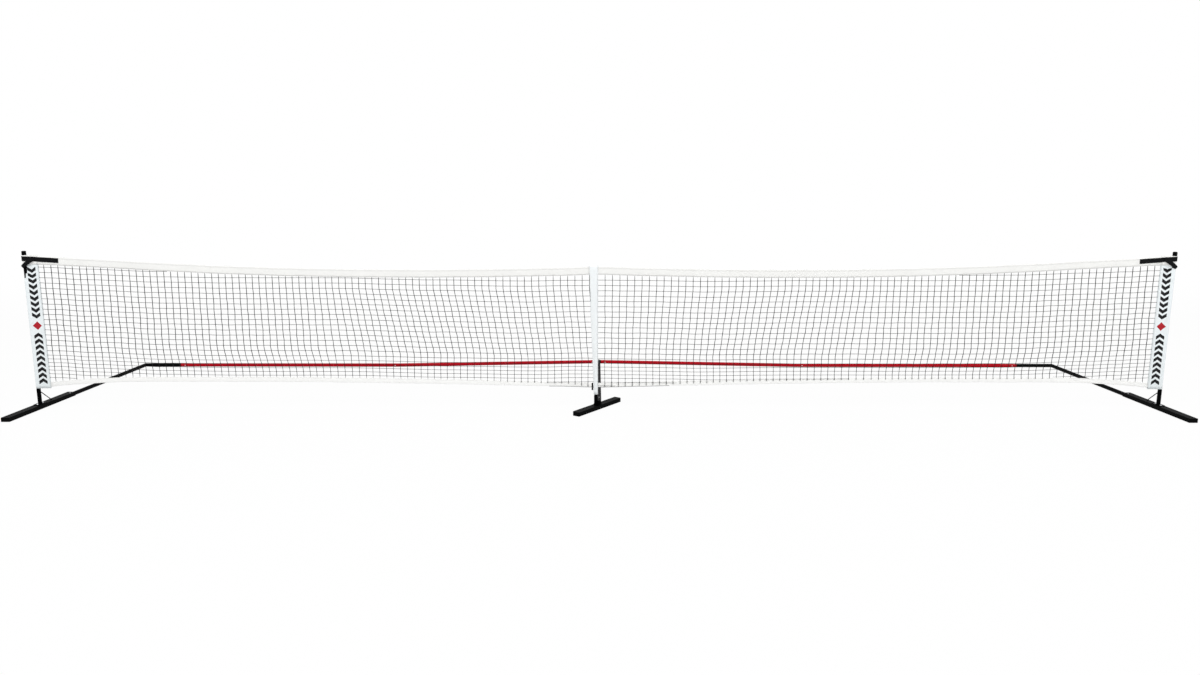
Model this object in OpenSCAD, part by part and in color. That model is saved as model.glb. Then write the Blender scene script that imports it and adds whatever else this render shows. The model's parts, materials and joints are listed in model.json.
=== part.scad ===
// Portable court net on a tube frame.
// +X runs along the net, +Y towards the cross bars behind it, +Z up.
// The origin is on the floor, midway between the end posts.

/* [Net size] */
// Clear width between the two end posts
net_width = 6706; // [4000:1:7500]
// Height of the top tape at the end posts
end_height = 914; // [800:1:1000]
// Height of the top tape at the centre post
centre_height = 857; // [760:1:910]
// How far each half of the tape sags below a straight line
top_sag = 42; // [5:1:60]
// Height of the net's lower edge at the centre post
bottom_centre = 130; // [110:1:170]
// Height of the net's lower edge between the posts
bottom_middle = 163; // [135:1:220]
// Height of the net's lower edge at the end posts
bottom_end = 123; // [122:1:170]

/* [Net cloth] */
// Height of the folded top tape
tape_height = 48; // [30:1:60]
// Thickness of the folded top tape
tape_thick = 3; // [2:0.5:4]
// Height of the bottom band
band_height = 28; // [18:1:40]
// Thickness of the bottom band
band_thick = 2; // [1.5:0.5:3]
// Thickness of the net's cords
cord_thick = 1.6; // [1:0.2:2.4]
// Width of a net cord seen from the front
cord_width = 4; // [2:0.5:6]
// Net columns in each half
net_columns = 20; // [8:1:21]
// Net rows
net_rows = 7; // [3:1:7]
// Width of the white band at each end, from the post's axis
end_band_width = 77; // [50:1:120]
// How far below the tape's top edge the left end band stops wrapping round its post
left_wrap_drop = 131; // [66:1:400]
// How far below the tape's top edge the right end band stops wrapping round its post
right_wrap_drop = 68; // [66:1:400]
// Thickness of the cloth wrapped round a post
wrap_thick = 1.2; // [0.8:0.1:1.6]
// Height of the tape's loop round the end post
tape_loop_height = 64; // [40:1:75]

/* [Centre sleeve] */
// Width of the centre sleeve at the top
sleeve_top_width = 54; // [36:1:80]
// Width of the centre sleeve at its lower end
sleeve_bottom_width = 24; // [24:1:40]
// Distance of the sleeve's straight edge from its post's axis
sleeve_edge = 12; // [11.5:0.1:12]
// Height of the sleeve's lower end above the floor
sleeve_bottom = 88; // [75:1:110]
// How far the sleeve covers the top tape
sleeve_cover = 3; // [1.5:0.5:8]
// Height of the tie tab beside the sleeve
tie_height = 45; // [20:1:60]
// Width of the tie tab
tie_width = 10; // [6:1:16]

/* [Straps] */
// Height of the webbing straps
strap_height = 26; // [16:1:30]
// Thickness of the webbing
strap_thick = 1.6; // [1:0.1:2.5]
// Length of the upper strap along the tape
strap_length = 199; // [100:1:300]
// How far the upper strap drops along its length
strap_drop = 12; // [0:1:20]
// Width of the lower strap
tail_width = 19; // [12:1:24]
// How far the lower strap's tip stands out past the post's axis
tail_reach = 18; // [14:1:40]
// How far the outer corner of the lower strap's tip lies below the upper strap
tail_drop = 31; // [24:1:36]

/* [Posts] */
// Outer diameter of the posts
post_od = 19; // [16:0.5:20]
// How far an end post stands above the tape
post_rise = 18; // [13:1:40]
// Wall of the posts
post_wall = 1.5; // [1:0.1:2.5]
// Diameter of the round post caps
cap_od = 24; // [23:0.2:32]
// Height of the post caps
cap_height = 24; // [16:1:32]
// How far a cap's top stands above its post
cap_top = 13; // [5:1:15]
// Wall of the post sockets
socket_wall = 1.6; // [1.2:0.1:3]
// Height of the sockets above the feet
socket_height = 95; // [60:1:96]
// Diameter of the brace rods
brace_od = 5; // [3:0.5:8]
// Height at which a brace meets its socket, above the foot
brace_height = 84; // [50:1:90]
// How far behind the post a brace meets the foot
brace_reach = 106; // [60:1:180]

/* [Feet] */
// Width of the feet
foot_width = 50.8; // [46:0.1:60]
// Height of the feet
foot_height = 25.4; // [25:0.1:32]
// Wall of the feet
foot_wall = 1.6; // [1.2:0.1:1.6]
// Corner radius of the feet
foot_corner = 3; // [2:0.5:5]
// Length of an end foot's tube
foot_length = 604; // [450:1:900]
// Thickness of the plastic ends on the feet
foot_cap = 3; // [2:0.5:6]
// How far a plastic end reaches into its foot
plug_depth = 60; // [52:1:90]
// Length of the plate under a post
plate_length = 64; // [60:1:90]
// Width of the plate under a post
plate_width = 42; // [30:1:44]
// Thickness of the plate under a post
plate_thick = 3; // [2:0.5:5]
// Distance of the plate's bolts from the post's axis
bolt_offset = 23; // [20:0.5:25]
// Diameter of the plate's bolts
bolt_od = 5; // [4:0.5:6]

/* [Bars] */
// Outer diameter of the round bars
bar_od = 25.4; // [24:0.1:25.4]
// Wall of the round bars
bar_wall = 1.6; // [1.2:0.1:2.2]
// Length of an arm behind its foot, to the cross bars' axis
arm_length = 872; // [500:1:1200]
// Distance of the cross bar's outer end from the arm's axis
stub_length = 265; // [150:1:400]
// Distance of the joint between two cross bars from the centre
joint_x = 1470; // [1000:1:1900]
// Neck left showing at the joint between two cross bars
joint_neck = 4; // [2:0.5:10]
// Length of the spigots inside the bars
spigot_length = 60; // [50:1:90]
// Diameter of the spigot that enters a foot
foot_spigot_od = 19; // [16:0.5:19]

/* [Centre stand] */
// Length of the centre foot's tube
centre_foot_length = 405; // [300:1:600]
// How far the centre post stands beside the centre arm
post_offset = 20; // [16:0.5:22]
// Turn of the centre foot from the centre arm
centre_foot_turn = 36; // [0:1:80]
// Height of the centre socket above its foot
centre_socket_height = 54; // [48:1:60]
// Length of each rounded end of the centre foot
centre_cap = 12; // [9:1:20]
// Diameter of the pivot bolt
pivot_od = 10; // [8:0.5:12]
// Diameter of the boss inside the centre foot
boss_od = 30; // [26:1:36]
// Diameter of the flange under the centre post
flange_od = 46; // [44:1:48]
// Thickness of that flange
flange_thick = 4; // [3:0.5:6]
// Gap between the centre foot and what turns over it
turn_gap = 0.4; // [0.3:0.1:1]
// Half width of the tee between the two cross bars
tee_reach = 16; // [15:0.5:30]
// Length of the tee's stem towards the centre arm
tee_stem = 42; // [32:1:60]
// How much fatter the tee's stem is than the bars
tee_swell = 2.4; // [1:0.2:4]

/* [Snap buttons] */
// Diameter of the snap buttons
button_od = 6.4; // [5:0.2:8]
// How far the buttons stand out of the bars
button_proud = 2.2; // [1:0.1:3]
// How far a button's inner flange stands out, and its thickness
button_flange = 1.3; // [0.8:0.1:1.6]
// Distance of a button from the end of its bar
button_inset = 32; // [24:1:38]

/* [Fits] */
// Radial clearance of round parts that slide in one another
fit_gap = 0.05; // [0.02:0.01:0.1]
// Gap between flat parts that move apart
face_gap = 0.3; // [0.2:0.05:0.5]
// Gap between cloth edges that are sewn together
seam_gap = 0.3; // [0.2:0.05:0.5]
// Gap between cloth and the tube that it wraps
wrap_gap = 0.5; // [0.3:0.1:1]

/* [Hidden] */
$fn = 48;
BLACK = [0.07, 0.07, 0.08];
RED = [0.53, 0.06, 0.10];
WHITE = [0.93, 0.93, 0.91];
WEBBING = [0.05, 0.05, 0.06];
STEEL = [0.72, 0.73, 0.75];
steps_per_column = 2;                           // straight pieces of a cloth edge over one mesh
solid_end = 14;                                 // solid stretch where a spigot leaves its bar
boolean_overlap = 8;                            // how far joined solids run into each other
eps = 1;                                        // extra depth of a cutting tool

half_span = (net_width + post_od) / 2;          // an end post's axis
post_r = post_od / 2;
bar_r = bar_od / 2;
bar_bore_r = bar_r - bar_wall;
spigot_r = bar_bore_r - fit_gap;
spigot_bore_r = spigot_r - bar_wall;
foot_spigot_r = foot_spigot_od / 2;
foot_spigot_bore_r = foot_spigot_r - bar_wall;
button_r = button_od / 2;
socket_bore_r = post_r + fit_gap;
socket_r = socket_bore_r + socket_wall;
wrap_in = post_r + wrap_gap;
wrap_out = wrap_in + wrap_thick;
strap_in = wrap_out + fit_gap;
strap_out = strap_in + strap_thick;

foot_end = foot_length / 2;
rail_z = bar_r;                                 // arms and outer bars lie on the floor
arm_x = half_span - foot_width / 2 + foot_height / 2;
rail_y = foot_end + foot_cap + arm_length;
stub_end = arm_x - stub_length;                 // outer end of an outer bar
tee_z = foot_height + turn_gap + flange_thick / 4 + bar_r; // the centre arm clears its foot
bar_slope = atan((tee_z - rail_z) / joint_x);   // rise of an inner bar
inner_length = norm([joint_x, tee_z - rail_z]); // from the joint to the tee's centre

hub_face = 34;                                  // front end of the centre arm
hub_front = bar_r;                              // the hub's stub starts in front of the post
centre_post_x = -post_offset;                   // the centre arm lies on the middle, at x = 0
pivot_x = -post_offset / 2;                     // the pivot is midway between post and arm
pivot_head_r = pivot_od * 0.8;
pivot_head_h = 3.5;                             // thickness of the pivot bolt's head
pivot_head_z = 2.2;                             // the head sits up inside the foot
flange_z = foot_height + turn_gap;
centre_post_z = flange_z + flange_thick;
centre_post_top = centre_height - tape_height / 2;
post_top = end_height + post_rise;
cap_bottom = post_top + cap_top - cap_height;
strip_steps = steps_per_column * net_columns;   // band and net bend at the same places
strap_hold = 6;                                 // how sharply the tape's sag ends at the straps
tape_loop_top = cap_bottom - eps;               // the cap sits just above the cloth
tape_loop_bottom = tape_loop_top - tape_loop_height;
tape_loop_reach = 3 * wrap_out;                 // flat part of the tape's loop

// ---- Curves of the net ----

// Distance from the middle as a share of the half span.
function share(x) = abs(x) / half_span;

// Height of the tape's top edge: a sagging curve that the straps hold straight at its ends.
function top_z(x) = centre_height + (end_height - centre_height) * share(x)
    - 4 * top_sag * share(x) * (1 - share(x)) * (1 - pow(share(x), strap_hold));

// Height of the bottom band's lower edge.
function bottom_z(x) = bottom_centre + (bottom_middle - bottom_centre) * sin(90 * min(1, share(x) / 0.65))
    - (bottom_middle - bottom_end) * pow(max(0, (share(x) - 0.8) / 0.2), 2);

// Place of the centre sleeve's slanted edge at height z, and of its straight edge.
function sleeve_slanted(z) = let (s = (z - sleeve_bottom) / (centre_height - sleeve_bottom))
    centre_post_x + sleeve_edge - between(sleeve_bottom_width, sleeve_top_width, s);
sleeve_straight = centre_post_x + sleeve_edge;

// Distance of the sleeve's edge from the middle at height z, on the right (1) or left (-1).
function sleeve_reach(side, z) = side > 0 ? sleeve_straight : -sleeve_slanted(z);

function between(a, b, s) = a + (b - a) * s;
function net_top(x) = top_z(x) - tape_height - seam_gap;
function net_bottom(x) = bottom_z(x) + band_height + seam_gap;
net_outer_x = half_span - end_band_width - seam_gap;

// A point of one side's net: u runs from the sleeve to the end band, v from the lower edge up.
function net_point(side, u, v) = let (
        x0 = between(sleeve_reach(side, net_bottom(0)), sleeve_reach(side, net_top(0)), v) + seam_gap,
        x = between(x0, net_outer_x, u)
    ) [x, between(net_bottom(x), net_top(x), v)];

// ---- Shared shapes ----

// Shows a right-hand piece on the left as its mirror image.
module on_left() { mirror([1, 0, 0]) children(); }

// Stands a flat outline up in the plane of the net.
module in_net_plane(thick) { rotate([90, 0, 0]) linear_extrude(thick, center = true) children(); }

module rounded_rect(w, h, r) {
    square([w - 2 * r, h], center = true);
    square([w, h - 2 * r], center = true);
    for (x = [-1, 1], y = [-1, 1]) translate([x * (w / 2 - r), y * (h / 2 - r)]) circle(r);
}

// A stretch of cloth whose edges follow two height functions, from x0 to x1.
module cloth_strip(x0, x1, thick, upper, lower) {
    xs = [for (i = [0:strip_steps]) between(x0, x1, i / strip_steps)];
    in_net_plane(thick)
        polygon([
            for (i = [0:strip_steps]) [xs[i], upper(xs[i])],
            for (i = [strip_steps:-1:0]) [xs[i], lower(xs[i])]
        ]);
}

// Outline of cloth that wraps a post and closes into a flat double layer on the inner side.
module wrap_outline(r, reach, thick) {
    pinch = min(reach, 3 * r);
    circle(r);
    polygon([[0, r], [-pinch, thick / 2], [-reach, thick / 2], [-reach, -thick / 2],
        [-pinch, -thick / 2], [0, -r]]);
}

// A tube along +Z.
module tube(r, bore, length) {
    difference() {
        cylinder(h = length, r = r);
        translate([0, 0, -eps]) cylinder(h = length + 2 * eps, r = bore);
    }
}

// A bar along +Z that is solid at its start, so that a spigot can leave it at another angle.
module closed_bar(length) {
    difference() {
        cylinder(h = length, r = bar_r);
        translate([0, 0, solid_end]) cylinder(h = length, r = bar_bore_r);
    }
}

// A spigot along +Z, hollow from its tip, with a root that runs back into the bar it stands on.
module spigot(r, bore, length) {
    difference() {
        translate([0, 0, -boolean_overlap]) cylinder(h = length + boolean_overlap, r = r);
        translate([0, 0, eps]) cylinder(h = length, r = bore);
    }
}

// The hole for a snap button, along +Z from a bar's axis.
module button_hole() { cylinder(h = 2 * bar_r, r = button_r + fit_gap); }

// A snap button along +Z from the bar's axis. inner is the radius it rests in, outer the surface.
module snap_button(inner, outer) {
    flange_r = button_r + button_flange;
    flange_top = sqrt(inner * inner - flange_r * flange_r) - face_gap;
    top = outer + button_proud;
    dome = button_r * 0.4;                      // height of the bevelled tip
    color(STEEL) {
        translate([0, 0, flange_top - button_flange]) cylinder(h = button_flange, r = flange_r);
        translate([0, 0, flange_top - button_flange / 2])
            cylinder(h = top - dome - flange_top + button_flange / 2, r = button_r);
        translate([0, 0, top - dome]) cylinder(h = dome, r1 = button_r, r2 = button_r - dome);
    }
}

// Places a piece, built along +Z, along the inner bar's axis from the joint towards the tee.
module along_inner_bar(distance) {
    translate([joint_x, rail_y, rail_z]) rotate([0, bar_slope - 90, 0])
        translate([0, 0, distance]) children();
}

// A box tube along Y, centred, with its underside on the floor.
module foot_tube(length) {
    translate([0, 0, foot_height / 2]) rotate([90, 0, 0]) linear_extrude(length, center = true)
        difference() {
            rounded_rect(foot_width, foot_height, foot_corner);
            rounded_rect(foot_width - 2 * foot_wall, foot_height - 2 * foot_wall,
                foot_corner - foot_wall / 2);
        }
}

// Outline of a plug that slides into a foot.
module plug_outline() {
    rounded_rect(foot_width - 2 * foot_wall - 2 * fit_gap, foot_height - 2 * foot_wall - 2 * fit_gap,
        foot_corner - foot_wall / 2);
}

// ---- End pieces, drawn for the right-hand end ----

module foot() {
    color(BLACK) difference() {
        translate([half_span, 0, 0]) foot_tube(foot_length);
        for (y = [-1, 1]) translate([half_span, y * bolt_offset, foot_height / 2])
            cylinder(h = foot_height, r = bolt_od / 2 + fit_gap);
        translate([arm_x, foot_end - button_inset, rail_z]) button_hole();
    }
}

module foot_front_cap() {
    color(BLACK) translate([half_span, -foot_end, foot_height / 2]) rotate([90, 0, 0]) {
        linear_extrude(foot_cap) rounded_rect(foot_width, foot_height, foot_corner);
        translate([0, 0, -plug_depth / 2]) linear_extrude(plug_depth / 2) plug_outline();
    }
}

module foot_rear_plug() {
    color(BLACK) difference() {
        translate([half_span, foot_end, foot_height / 2]) rotate([90, 0, 0]) {
            linear_extrude(plug_depth) plug_outline();
            translate([0, 0, -foot_cap]) linear_extrude(foot_cap)
                rounded_rect(foot_width, foot_height, foot_corner);
        }
        translate([arm_x, foot_end + foot_cap + eps, rail_z]) rotate([90, 0, 0])
            cylinder(h = plug_depth + foot_cap + 2 * eps, r = foot_spigot_r + fit_gap);
        translate([arm_x, foot_end - button_inset, rail_z]) button_hole();
    }
}

module base_plate() {
    color(BLACK) difference() {
        translate([half_span, 0, foot_height]) linear_extrude(plate_thick)
            rounded_rect(plate_width, plate_length, foot_corner);
        translate([half_span, 0, foot_height - eps])
            cylinder(h = plate_thick + 2 * eps, r = socket_r + fit_gap);
        for (y = [-1, 1]) translate([half_span, y * bolt_offset, foot_height - eps])
            cylinder(h = plate_thick + 2 * eps, r = bolt_od / 2 + fit_gap);
    }
}

module base_bolts() {
    head_h = bolt_od * 0.6;                     // height of a bolt's head
    color(STEEL) for (y = [-1, 1]) translate([half_span, y * bolt_offset, foot_height + plate_thick]) {
        cylinder(h = head_h, r1 = bolt_od, r2 = bolt_od * 0.6);
        translate([0, 0, -plate_thick - foot_wall - bolt_od])
            cylinder(h = plate_thick + foot_wall + bolt_od + head_h / 2, r = bolt_od / 2);
    }
}

module socket() {
    color(BLACK) translate([half_span, 0, foot_height]) tube(socket_r, socket_bore_r, socket_height);
}

module brace() {
    tilt = atan2(brace_reach, brace_height);
    color(BLACK) difference() {
        translate([half_span, 0, foot_height + brace_height]) rotate([180 - tilt, 0, 180])
            cylinder(h = 2 * brace_reach, r = brace_od / 2);
        translate([half_span, 0, foot_height - eps])
            cylinder(h = brace_height + 4 * brace_od, r = socket_r);
        translate([half_span - foot_width / 2, -brace_reach, -4 * foot_height])
            cube([foot_width, 4 * brace_reach, 5 * foot_height]);
    }
}

module post() {
    color(BLACK) translate([half_span, 0, foot_height + face_gap])
        tube(post_r, post_r - post_wall, post_top - foot_height - face_gap);
}

module post_cap() {
    cap_r = cap_od / 2;
    edge = cap_r * 0.45;                        // radius of the rounded top edge
    color(BLACK) translate([half_span, 0, cap_bottom]) difference() {
        rotate_extrude() intersection() {
            union() {
                square([cap_r, cap_height - edge]);
                square([cap_r - edge, cap_height]);
                translate([cap_r - edge, cap_height - edge]) circle(edge);
            }
            square([cap_r, cap_height]);
        }
        translate([0, 0, -eps])
            cylinder(h = cap_height - cap_top + eps, r = post_r + fit_gap);
    }
}

// The arm lies on the floor behind its foot and turns a mitred corner into the cross bar's stub.
module arm() {
    run = arm_length + bar_r;
    color(BLACK) {
        difference() {
            translate([arm_x, foot_end + foot_cap, rail_z]) rotate([-90, 0, 0]) {
                difference() {
                    cylinder(h = run, r = bar_r);
                    translate([0, 0, solid_end])
                        cylinder(h = arm_length - 2 * bar_od - solid_end, r = bar_bore_r);
                }
                rotate([180, 0, 0]) spigot(foot_spigot_r, foot_spigot_bore_r, plug_depth);
            }
            mitre_cutter(180);
            translate([arm_x, foot_end - button_inset, rail_z]) button_hole();
        }
        difference() {
            translate([arm_x + bar_r, rail_y, rail_z]) rotate([0, -90, 0]) {
                difference() {
                    cylinder(h = stub_length + bar_r, r = bar_r);
                    translate([0, 0, bar_r + 2 * bar_od])
                        cylinder(h = stub_length - 2 * bar_od - solid_end, r = bar_bore_r);
                }
                translate([0, 0, stub_length + bar_r])
                    spigot(spigot_r, spigot_bore_r, spigot_length);
            }
            mitre_cutter(0);
            translate([stub_end - button_inset, rail_y, rail_z]) rotate([90, 0, 0]) button_hole();
        }
        // A core inside the corner runs from one mitred half into the other.
        translate([arm_x, rail_y, rail_z]) rotate([0, 0, 45]) cube(bar_r, center = true);
    }
}

// Half space beyond the corner's diagonal plane.
module mitre_cutter(turn) {
    size = 8 * bar_od;
    translate([arm_x, rail_y, rail_z]) rotate([0, 0, 45 + turn])
        translate([-size / 2, -size, -size / 2]) cube([size, size, size]);
}

module outer_bar() {
    color(RED) difference() {
        translate([joint_x, rail_y, rail_z]) rotate([0, 90, 0])
            tube(bar_r, bar_bore_r, stub_end - joint_x);
        for (x = [stub_end - button_inset, joint_x + button_inset])
            translate([x, rail_y, rail_z]) rotate([90, 0, 0]) button_hole();
    }
}

// The inner bar rises gently to the tee. Its level spigot sits inside the outer bar.
module inner_bar() {
    color(RED) difference() {
        union() {
            along_inner_bar(joint_neck) closed_bar(inner_length - tee_reach - joint_neck);
            translate([joint_x, rail_y, rail_z]) rotate([0, 90, 0])
                spigot(spigot_r, spigot_bore_r, spigot_length);
        }
        translate([joint_x + button_inset, rail_y, rail_z]) rotate([90, 0, 0]) button_hole();
        along_inner_bar(inner_length - tee_reach - button_inset) rotate([90, 0, 0]) button_hole();
    }
}

module foot_button() {
    translate([arm_x, foot_end - button_inset, rail_z])
        snap_button(foot_spigot_bore_r, foot_height - rail_z);
}

module elbow_button() {
    translate([stub_end - button_inset, rail_y, rail_z]) rotate([90, 0, 0])
        snap_button(spigot_bore_r, bar_r);
}

module joint_button() {
    translate([joint_x + button_inset, rail_y, rail_z]) rotate([90, 0, 0])
        snap_button(spigot_bore_r, bar_r);
}

module tee_button() {
    along_inner_bar(inner_length - tee_reach - button_inset) rotate([90, 0, 0])
        snap_button(spigot_bore_r, bar_r);
}

// ---- Cloth and straps of one half ----

module top_tape(side) {
    inner = sleeve_reach(side, centre_height) + seam_gap;
    color(WHITE) {
        difference() {
            union() {
                cloth_strip(inner, half_span - wrap_in - wrap_thick / 2,
                    tape_thick, function (x) top_z(x), function (x) top_z(x) - tape_height);
                translate([half_span, 0, tape_loop_bottom])
                    linear_extrude(tape_loop_height) wrap_outline(wrap_out, tape_loop_reach, tape_thick);
            }
            translate([half_span, 0, tape_loop_bottom - eps])
                cylinder(h = tape_loop_height + 2 * eps, r = wrap_in);
        }
    }
}

module bottom_band(side) {
    inner = sleeve_reach(side, net_bottom(0)) + seam_gap;
    color(WHITE) cloth_strip(inner, half_span - end_band_width - seam_gap, band_thick,
        function (x) bottom_z(x) + band_height, function (x) bottom_z(x));
}

// The end band wraps its post up to wrap_drop below the tape. Above that its flat part goes on.
module end_band(wrap_drop) {
    wrap_top = end_height - wrap_drop;
    flat_start = 3 * wrap_out / 2;
    seam = min(tape_loop_bottom - seam_gap, net_top(half_span));
    color(WHITE) {
        difference() {
            translate([half_span, 0, bottom_end]) linear_extrude(wrap_top - bottom_end)
                wrap_outline(wrap_out, end_band_width, tape_thick);
            translate([half_span, 0, bottom_end - eps])
                cylinder(h = wrap_top - bottom_end + 2 * eps, r = wrap_in);
        }
        in_net_plane(tape_thick) polygon([
            [half_span - flat_start, seam],
            [half_span - tape_loop_reach - seam_gap, seam],
            [half_span - tape_loop_reach - seam_gap, net_top(half_span - tape_loop_reach)],
            [half_span - end_band_width, net_top(half_span - end_band_width)],
            [half_span - end_band_width, wrap_top - boolean_overlap],
            [half_span - 2 * flat_start, wrap_top - boolean_overlap]
        ]);
    }
}

// Black cord net: an outline with one gap for each mesh.
module net(side) {
    half_u = cord_width / 2 / (net_outer_x - sleeve_reach(side, net_top(0)));
    half_v = cord_width / 2 / (net_top(half_span / 2) - net_bottom(half_span / 2));
    edge = [for (i = [0:net_columns]) i / net_columns];
    color(WEBBING) in_net_plane(cord_thick) difference() {
        polygon([
            for (i = [0:strip_steps]) net_point(side, i / strip_steps, 1),
            for (i = [strip_steps:-1:0]) net_point(side, i / strip_steps, 0)
        ]);
        for (i = [0:net_columns - 1], j = [0:net_rows - 1]) {
            u0 = edge[i] + (i == 0 ? 2 : 1) * half_u;
            u1 = edge[i + 1] - (i == net_columns - 1 ? 2 : 1) * half_u;
            v0 = j / net_rows + (j == 0 ? 2 : 1) * half_v;
            v1 = (j + 1) / net_rows - (j == net_rows - 1 ? 2 : 1) * half_v;
            polygon([net_point(side, u0, v0), net_point(side, u1, v0), net_point(side, u1, v1),
                net_point(side, u0, v1)]);
        }
    }
}

// Webbing that wraps the tape's loop on a post and lies along both sides of the tape.
module strap_loop(bottom, height, reach) {
    difference() {
        translate([half_span, 0, bottom]) linear_extrude(height)
            wrap_outline(strap_out, reach, tape_thick + 2 * strap_thick);
        translate([half_span, 0, bottom - eps]) linear_extrude(height + 2 * eps)
            wrap_outline(strap_in, reach + eps, tape_thick);
    }
}

module upper_strap() {
    loop_reach = tape_loop_reach + strap_thick;
    strap_top = end_height - eps;
    slope = strap_drop / strap_length;
    leg_y = tape_thick / 2 + strap_thick / 2;
    color(WEBBING) {
        strap_loop(strap_top - strap_height, strap_height, loop_reach);
        for (side = [-1, 1]) translate([half_span, side * leg_y, 0]) in_net_plane(strap_thick)
            polygon([
                [-loop_reach + eps, strap_top - slope * loop_reach],
                [-strap_length, strap_top - strap_drop],
                [-strap_length, strap_top - strap_drop - strap_height],
                [-loop_reach + eps, strap_top - slope * loop_reach - strap_height]
            ]);
    }
}

// The lower strap loops the post. Its end lies slanted across the front, with its tip outside.
module lower_strap() {
    strap_bottom = end_height - eps - strap_height;
    loop_top = strap_bottom - tail_drop / 2;    // the tape shows between the two straps
    across = strap_out + strap_thick / 2;
    color(WEBBING) {
        strap_loop(loop_top - tail_width, tail_width, tape_loop_reach);
        translate([half_span, -across, 0]) in_net_plane(strap_thick) polygon([
            [-2 * tail_width, strap_bottom - tail_width / 2],
            [-2 * tail_width, strap_bottom + tail_width / 4],
            [-tail_width * 3 / 4, strap_bottom + tail_width / 4],
            [tail_reach, strap_bottom - tail_drop],
            [tail_reach - tail_width * 2 / 3, strap_bottom - tail_drop - tail_width * 3 / 4]
        ]);
    }
}

// ---- Centre stand ----

module turned() { translate([pivot_x, 0, 0]) rotate([0, 0, -centre_foot_turn]) children(); }

module centre_foot() {
    color(BLACK) turned() difference() {
        union() {
            foot_tube(centre_foot_length);
            translate([0, 0, foot_wall / 2])
                cylinder(h = foot_height - foot_wall, r = boss_od / 2);
        }
        translate([0, 0, -eps]) cylinder(h = foot_height + 2 * eps, r = pivot_od / 2 + fit_gap);
        translate([0, 0, -eps])
            cylinder(h = pivot_head_z + pivot_head_h + face_gap + eps, r = pivot_head_r + face_gap);
    }
}

// A rounded plastic end of the centre foot.
module centre_foot_cap(turn) {
    round_r = centre_cap * 0.7;                 // corner radius seen from above
    color(BLACK) turned() rotate([0, 0, turn])
        translate([0, centre_foot_length / 2, 0]) {
            intersection() {
                linear_extrude(foot_height)
                    rounded_rect(foot_width, 2 * centre_cap, round_r);
                translate([-foot_width / 2, 0, 0]) cube([foot_width, centre_cap, foot_height]);
                translate([0, 0, foot_height / 2]) rotate([90, 0, 0])
                    linear_extrude(4 * centre_cap, center = true)
                        rounded_rect(foot_width, foot_height, foot_corner);
            }
            translate([0, 0, foot_height / 2]) rotate([90, 0, 0])
                linear_extrude(plug_depth / 2) plug_outline();
        }
}

module centre_foot_rear_cap() { centre_foot_cap(0); }
module centre_foot_front_cap() { centre_foot_cap(180); }

module centre_pivot() {
    bolt_z = pivot_head_z + pivot_head_h / 2;
    color(STEEL) translate([pivot_x, 0, 0]) {
        translate([0, 0, pivot_head_z]) cylinder(h = pivot_head_h, r = pivot_head_r);
        translate([0, 0, bolt_z]) cylinder(h = centre_post_z - face_gap - bolt_z, r = pivot_od / 2);
    }
}

// Flange, post socket and, beside the socket, the stub whose spigot carries the centre arm.
module centre_hub() {
    color(BLACK) difference() {
        union() {
            translate([pivot_x, 0, flange_z]) cylinder(h = flange_thick, r = flange_od / 2);
            translate([centre_post_x, 0, flange_z + flange_thick / 2])
                cylinder(h = centre_socket_height + foot_height - flange_z - flange_thick / 2, r = socket_r);
            translate([0, -hub_front, tee_z]) rotate([-90, 0, 0])
                cylinder(h = hub_face + hub_front, r = bar_r);
            translate([0, hub_face, tee_z]) rotate([-90, 0, 0])
                spigot(spigot_r, spigot_bore_r, spigot_length);
        }
        translate([centre_post_x, 0, centre_post_z])
            cylinder(h = centre_socket_height, r = socket_bore_r);
        translate([pivot_x, 0, flange_z - eps])
            cylinder(h = flange_thick + 2 * eps, r = pivot_od / 2 + fit_gap);
        translate([0, hub_face + button_inset, tee_z]) button_hole();
    }
}

module centre_post() {
    color(BLACK) translate([centre_post_x, 0, centre_post_z])
        tube(post_r, post_r - post_wall, centre_post_top - centre_post_z);
}

// White sleeve that covers the post and the meeting ends of the tape.
module centre_sleeve() {
    top = centre_height + sleeve_cover;
    hollow_top = centre_post_top + seam_gap;
    color(WHITE) difference() {
        union() {
            translate([centre_post_x, 0, sleeve_bottom])
                cylinder(h = top - sleeve_bottom, r = wrap_out);
            in_net_plane(tape_thick + 2 * wrap_thick) polygon([
                [sleeve_slanted(sleeve_bottom), sleeve_bottom],
                [sleeve_slanted(centre_height), centre_height], [sleeve_slanted(centre_height), top],
                [sleeve_straight, top], [sleeve_straight, sleeve_bottom]
            ]);
        }
        translate([centre_post_x, 0, sleeve_bottom - eps])
            cylinder(h = hollow_top - sleeve_bottom + eps, r = wrap_in);
    }
}

// Webbing tab that ties the sleeve to the bottom band.
module centre_tie() {
    x = sleeve_slanted(net_bottom(0)) - 3 * seam_gap;
    z = bottom_z(x) + band_height - tie_height;
    color(WEBBING) translate([x - tie_width, -band_thick / 2 - strap_thick, z])
        cube([tie_width, strap_thick, tie_height]);
}

module centre_arm() {
    color(BLACK) difference() {
        translate([0, hub_face, tee_z]) rotate([-90, 0, 0])
            tube(bar_r, bar_bore_r, rail_y - tee_stem - hub_face);
        translate([0, hub_face + button_inset, tee_z]) button_hole();
    }
}

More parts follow.
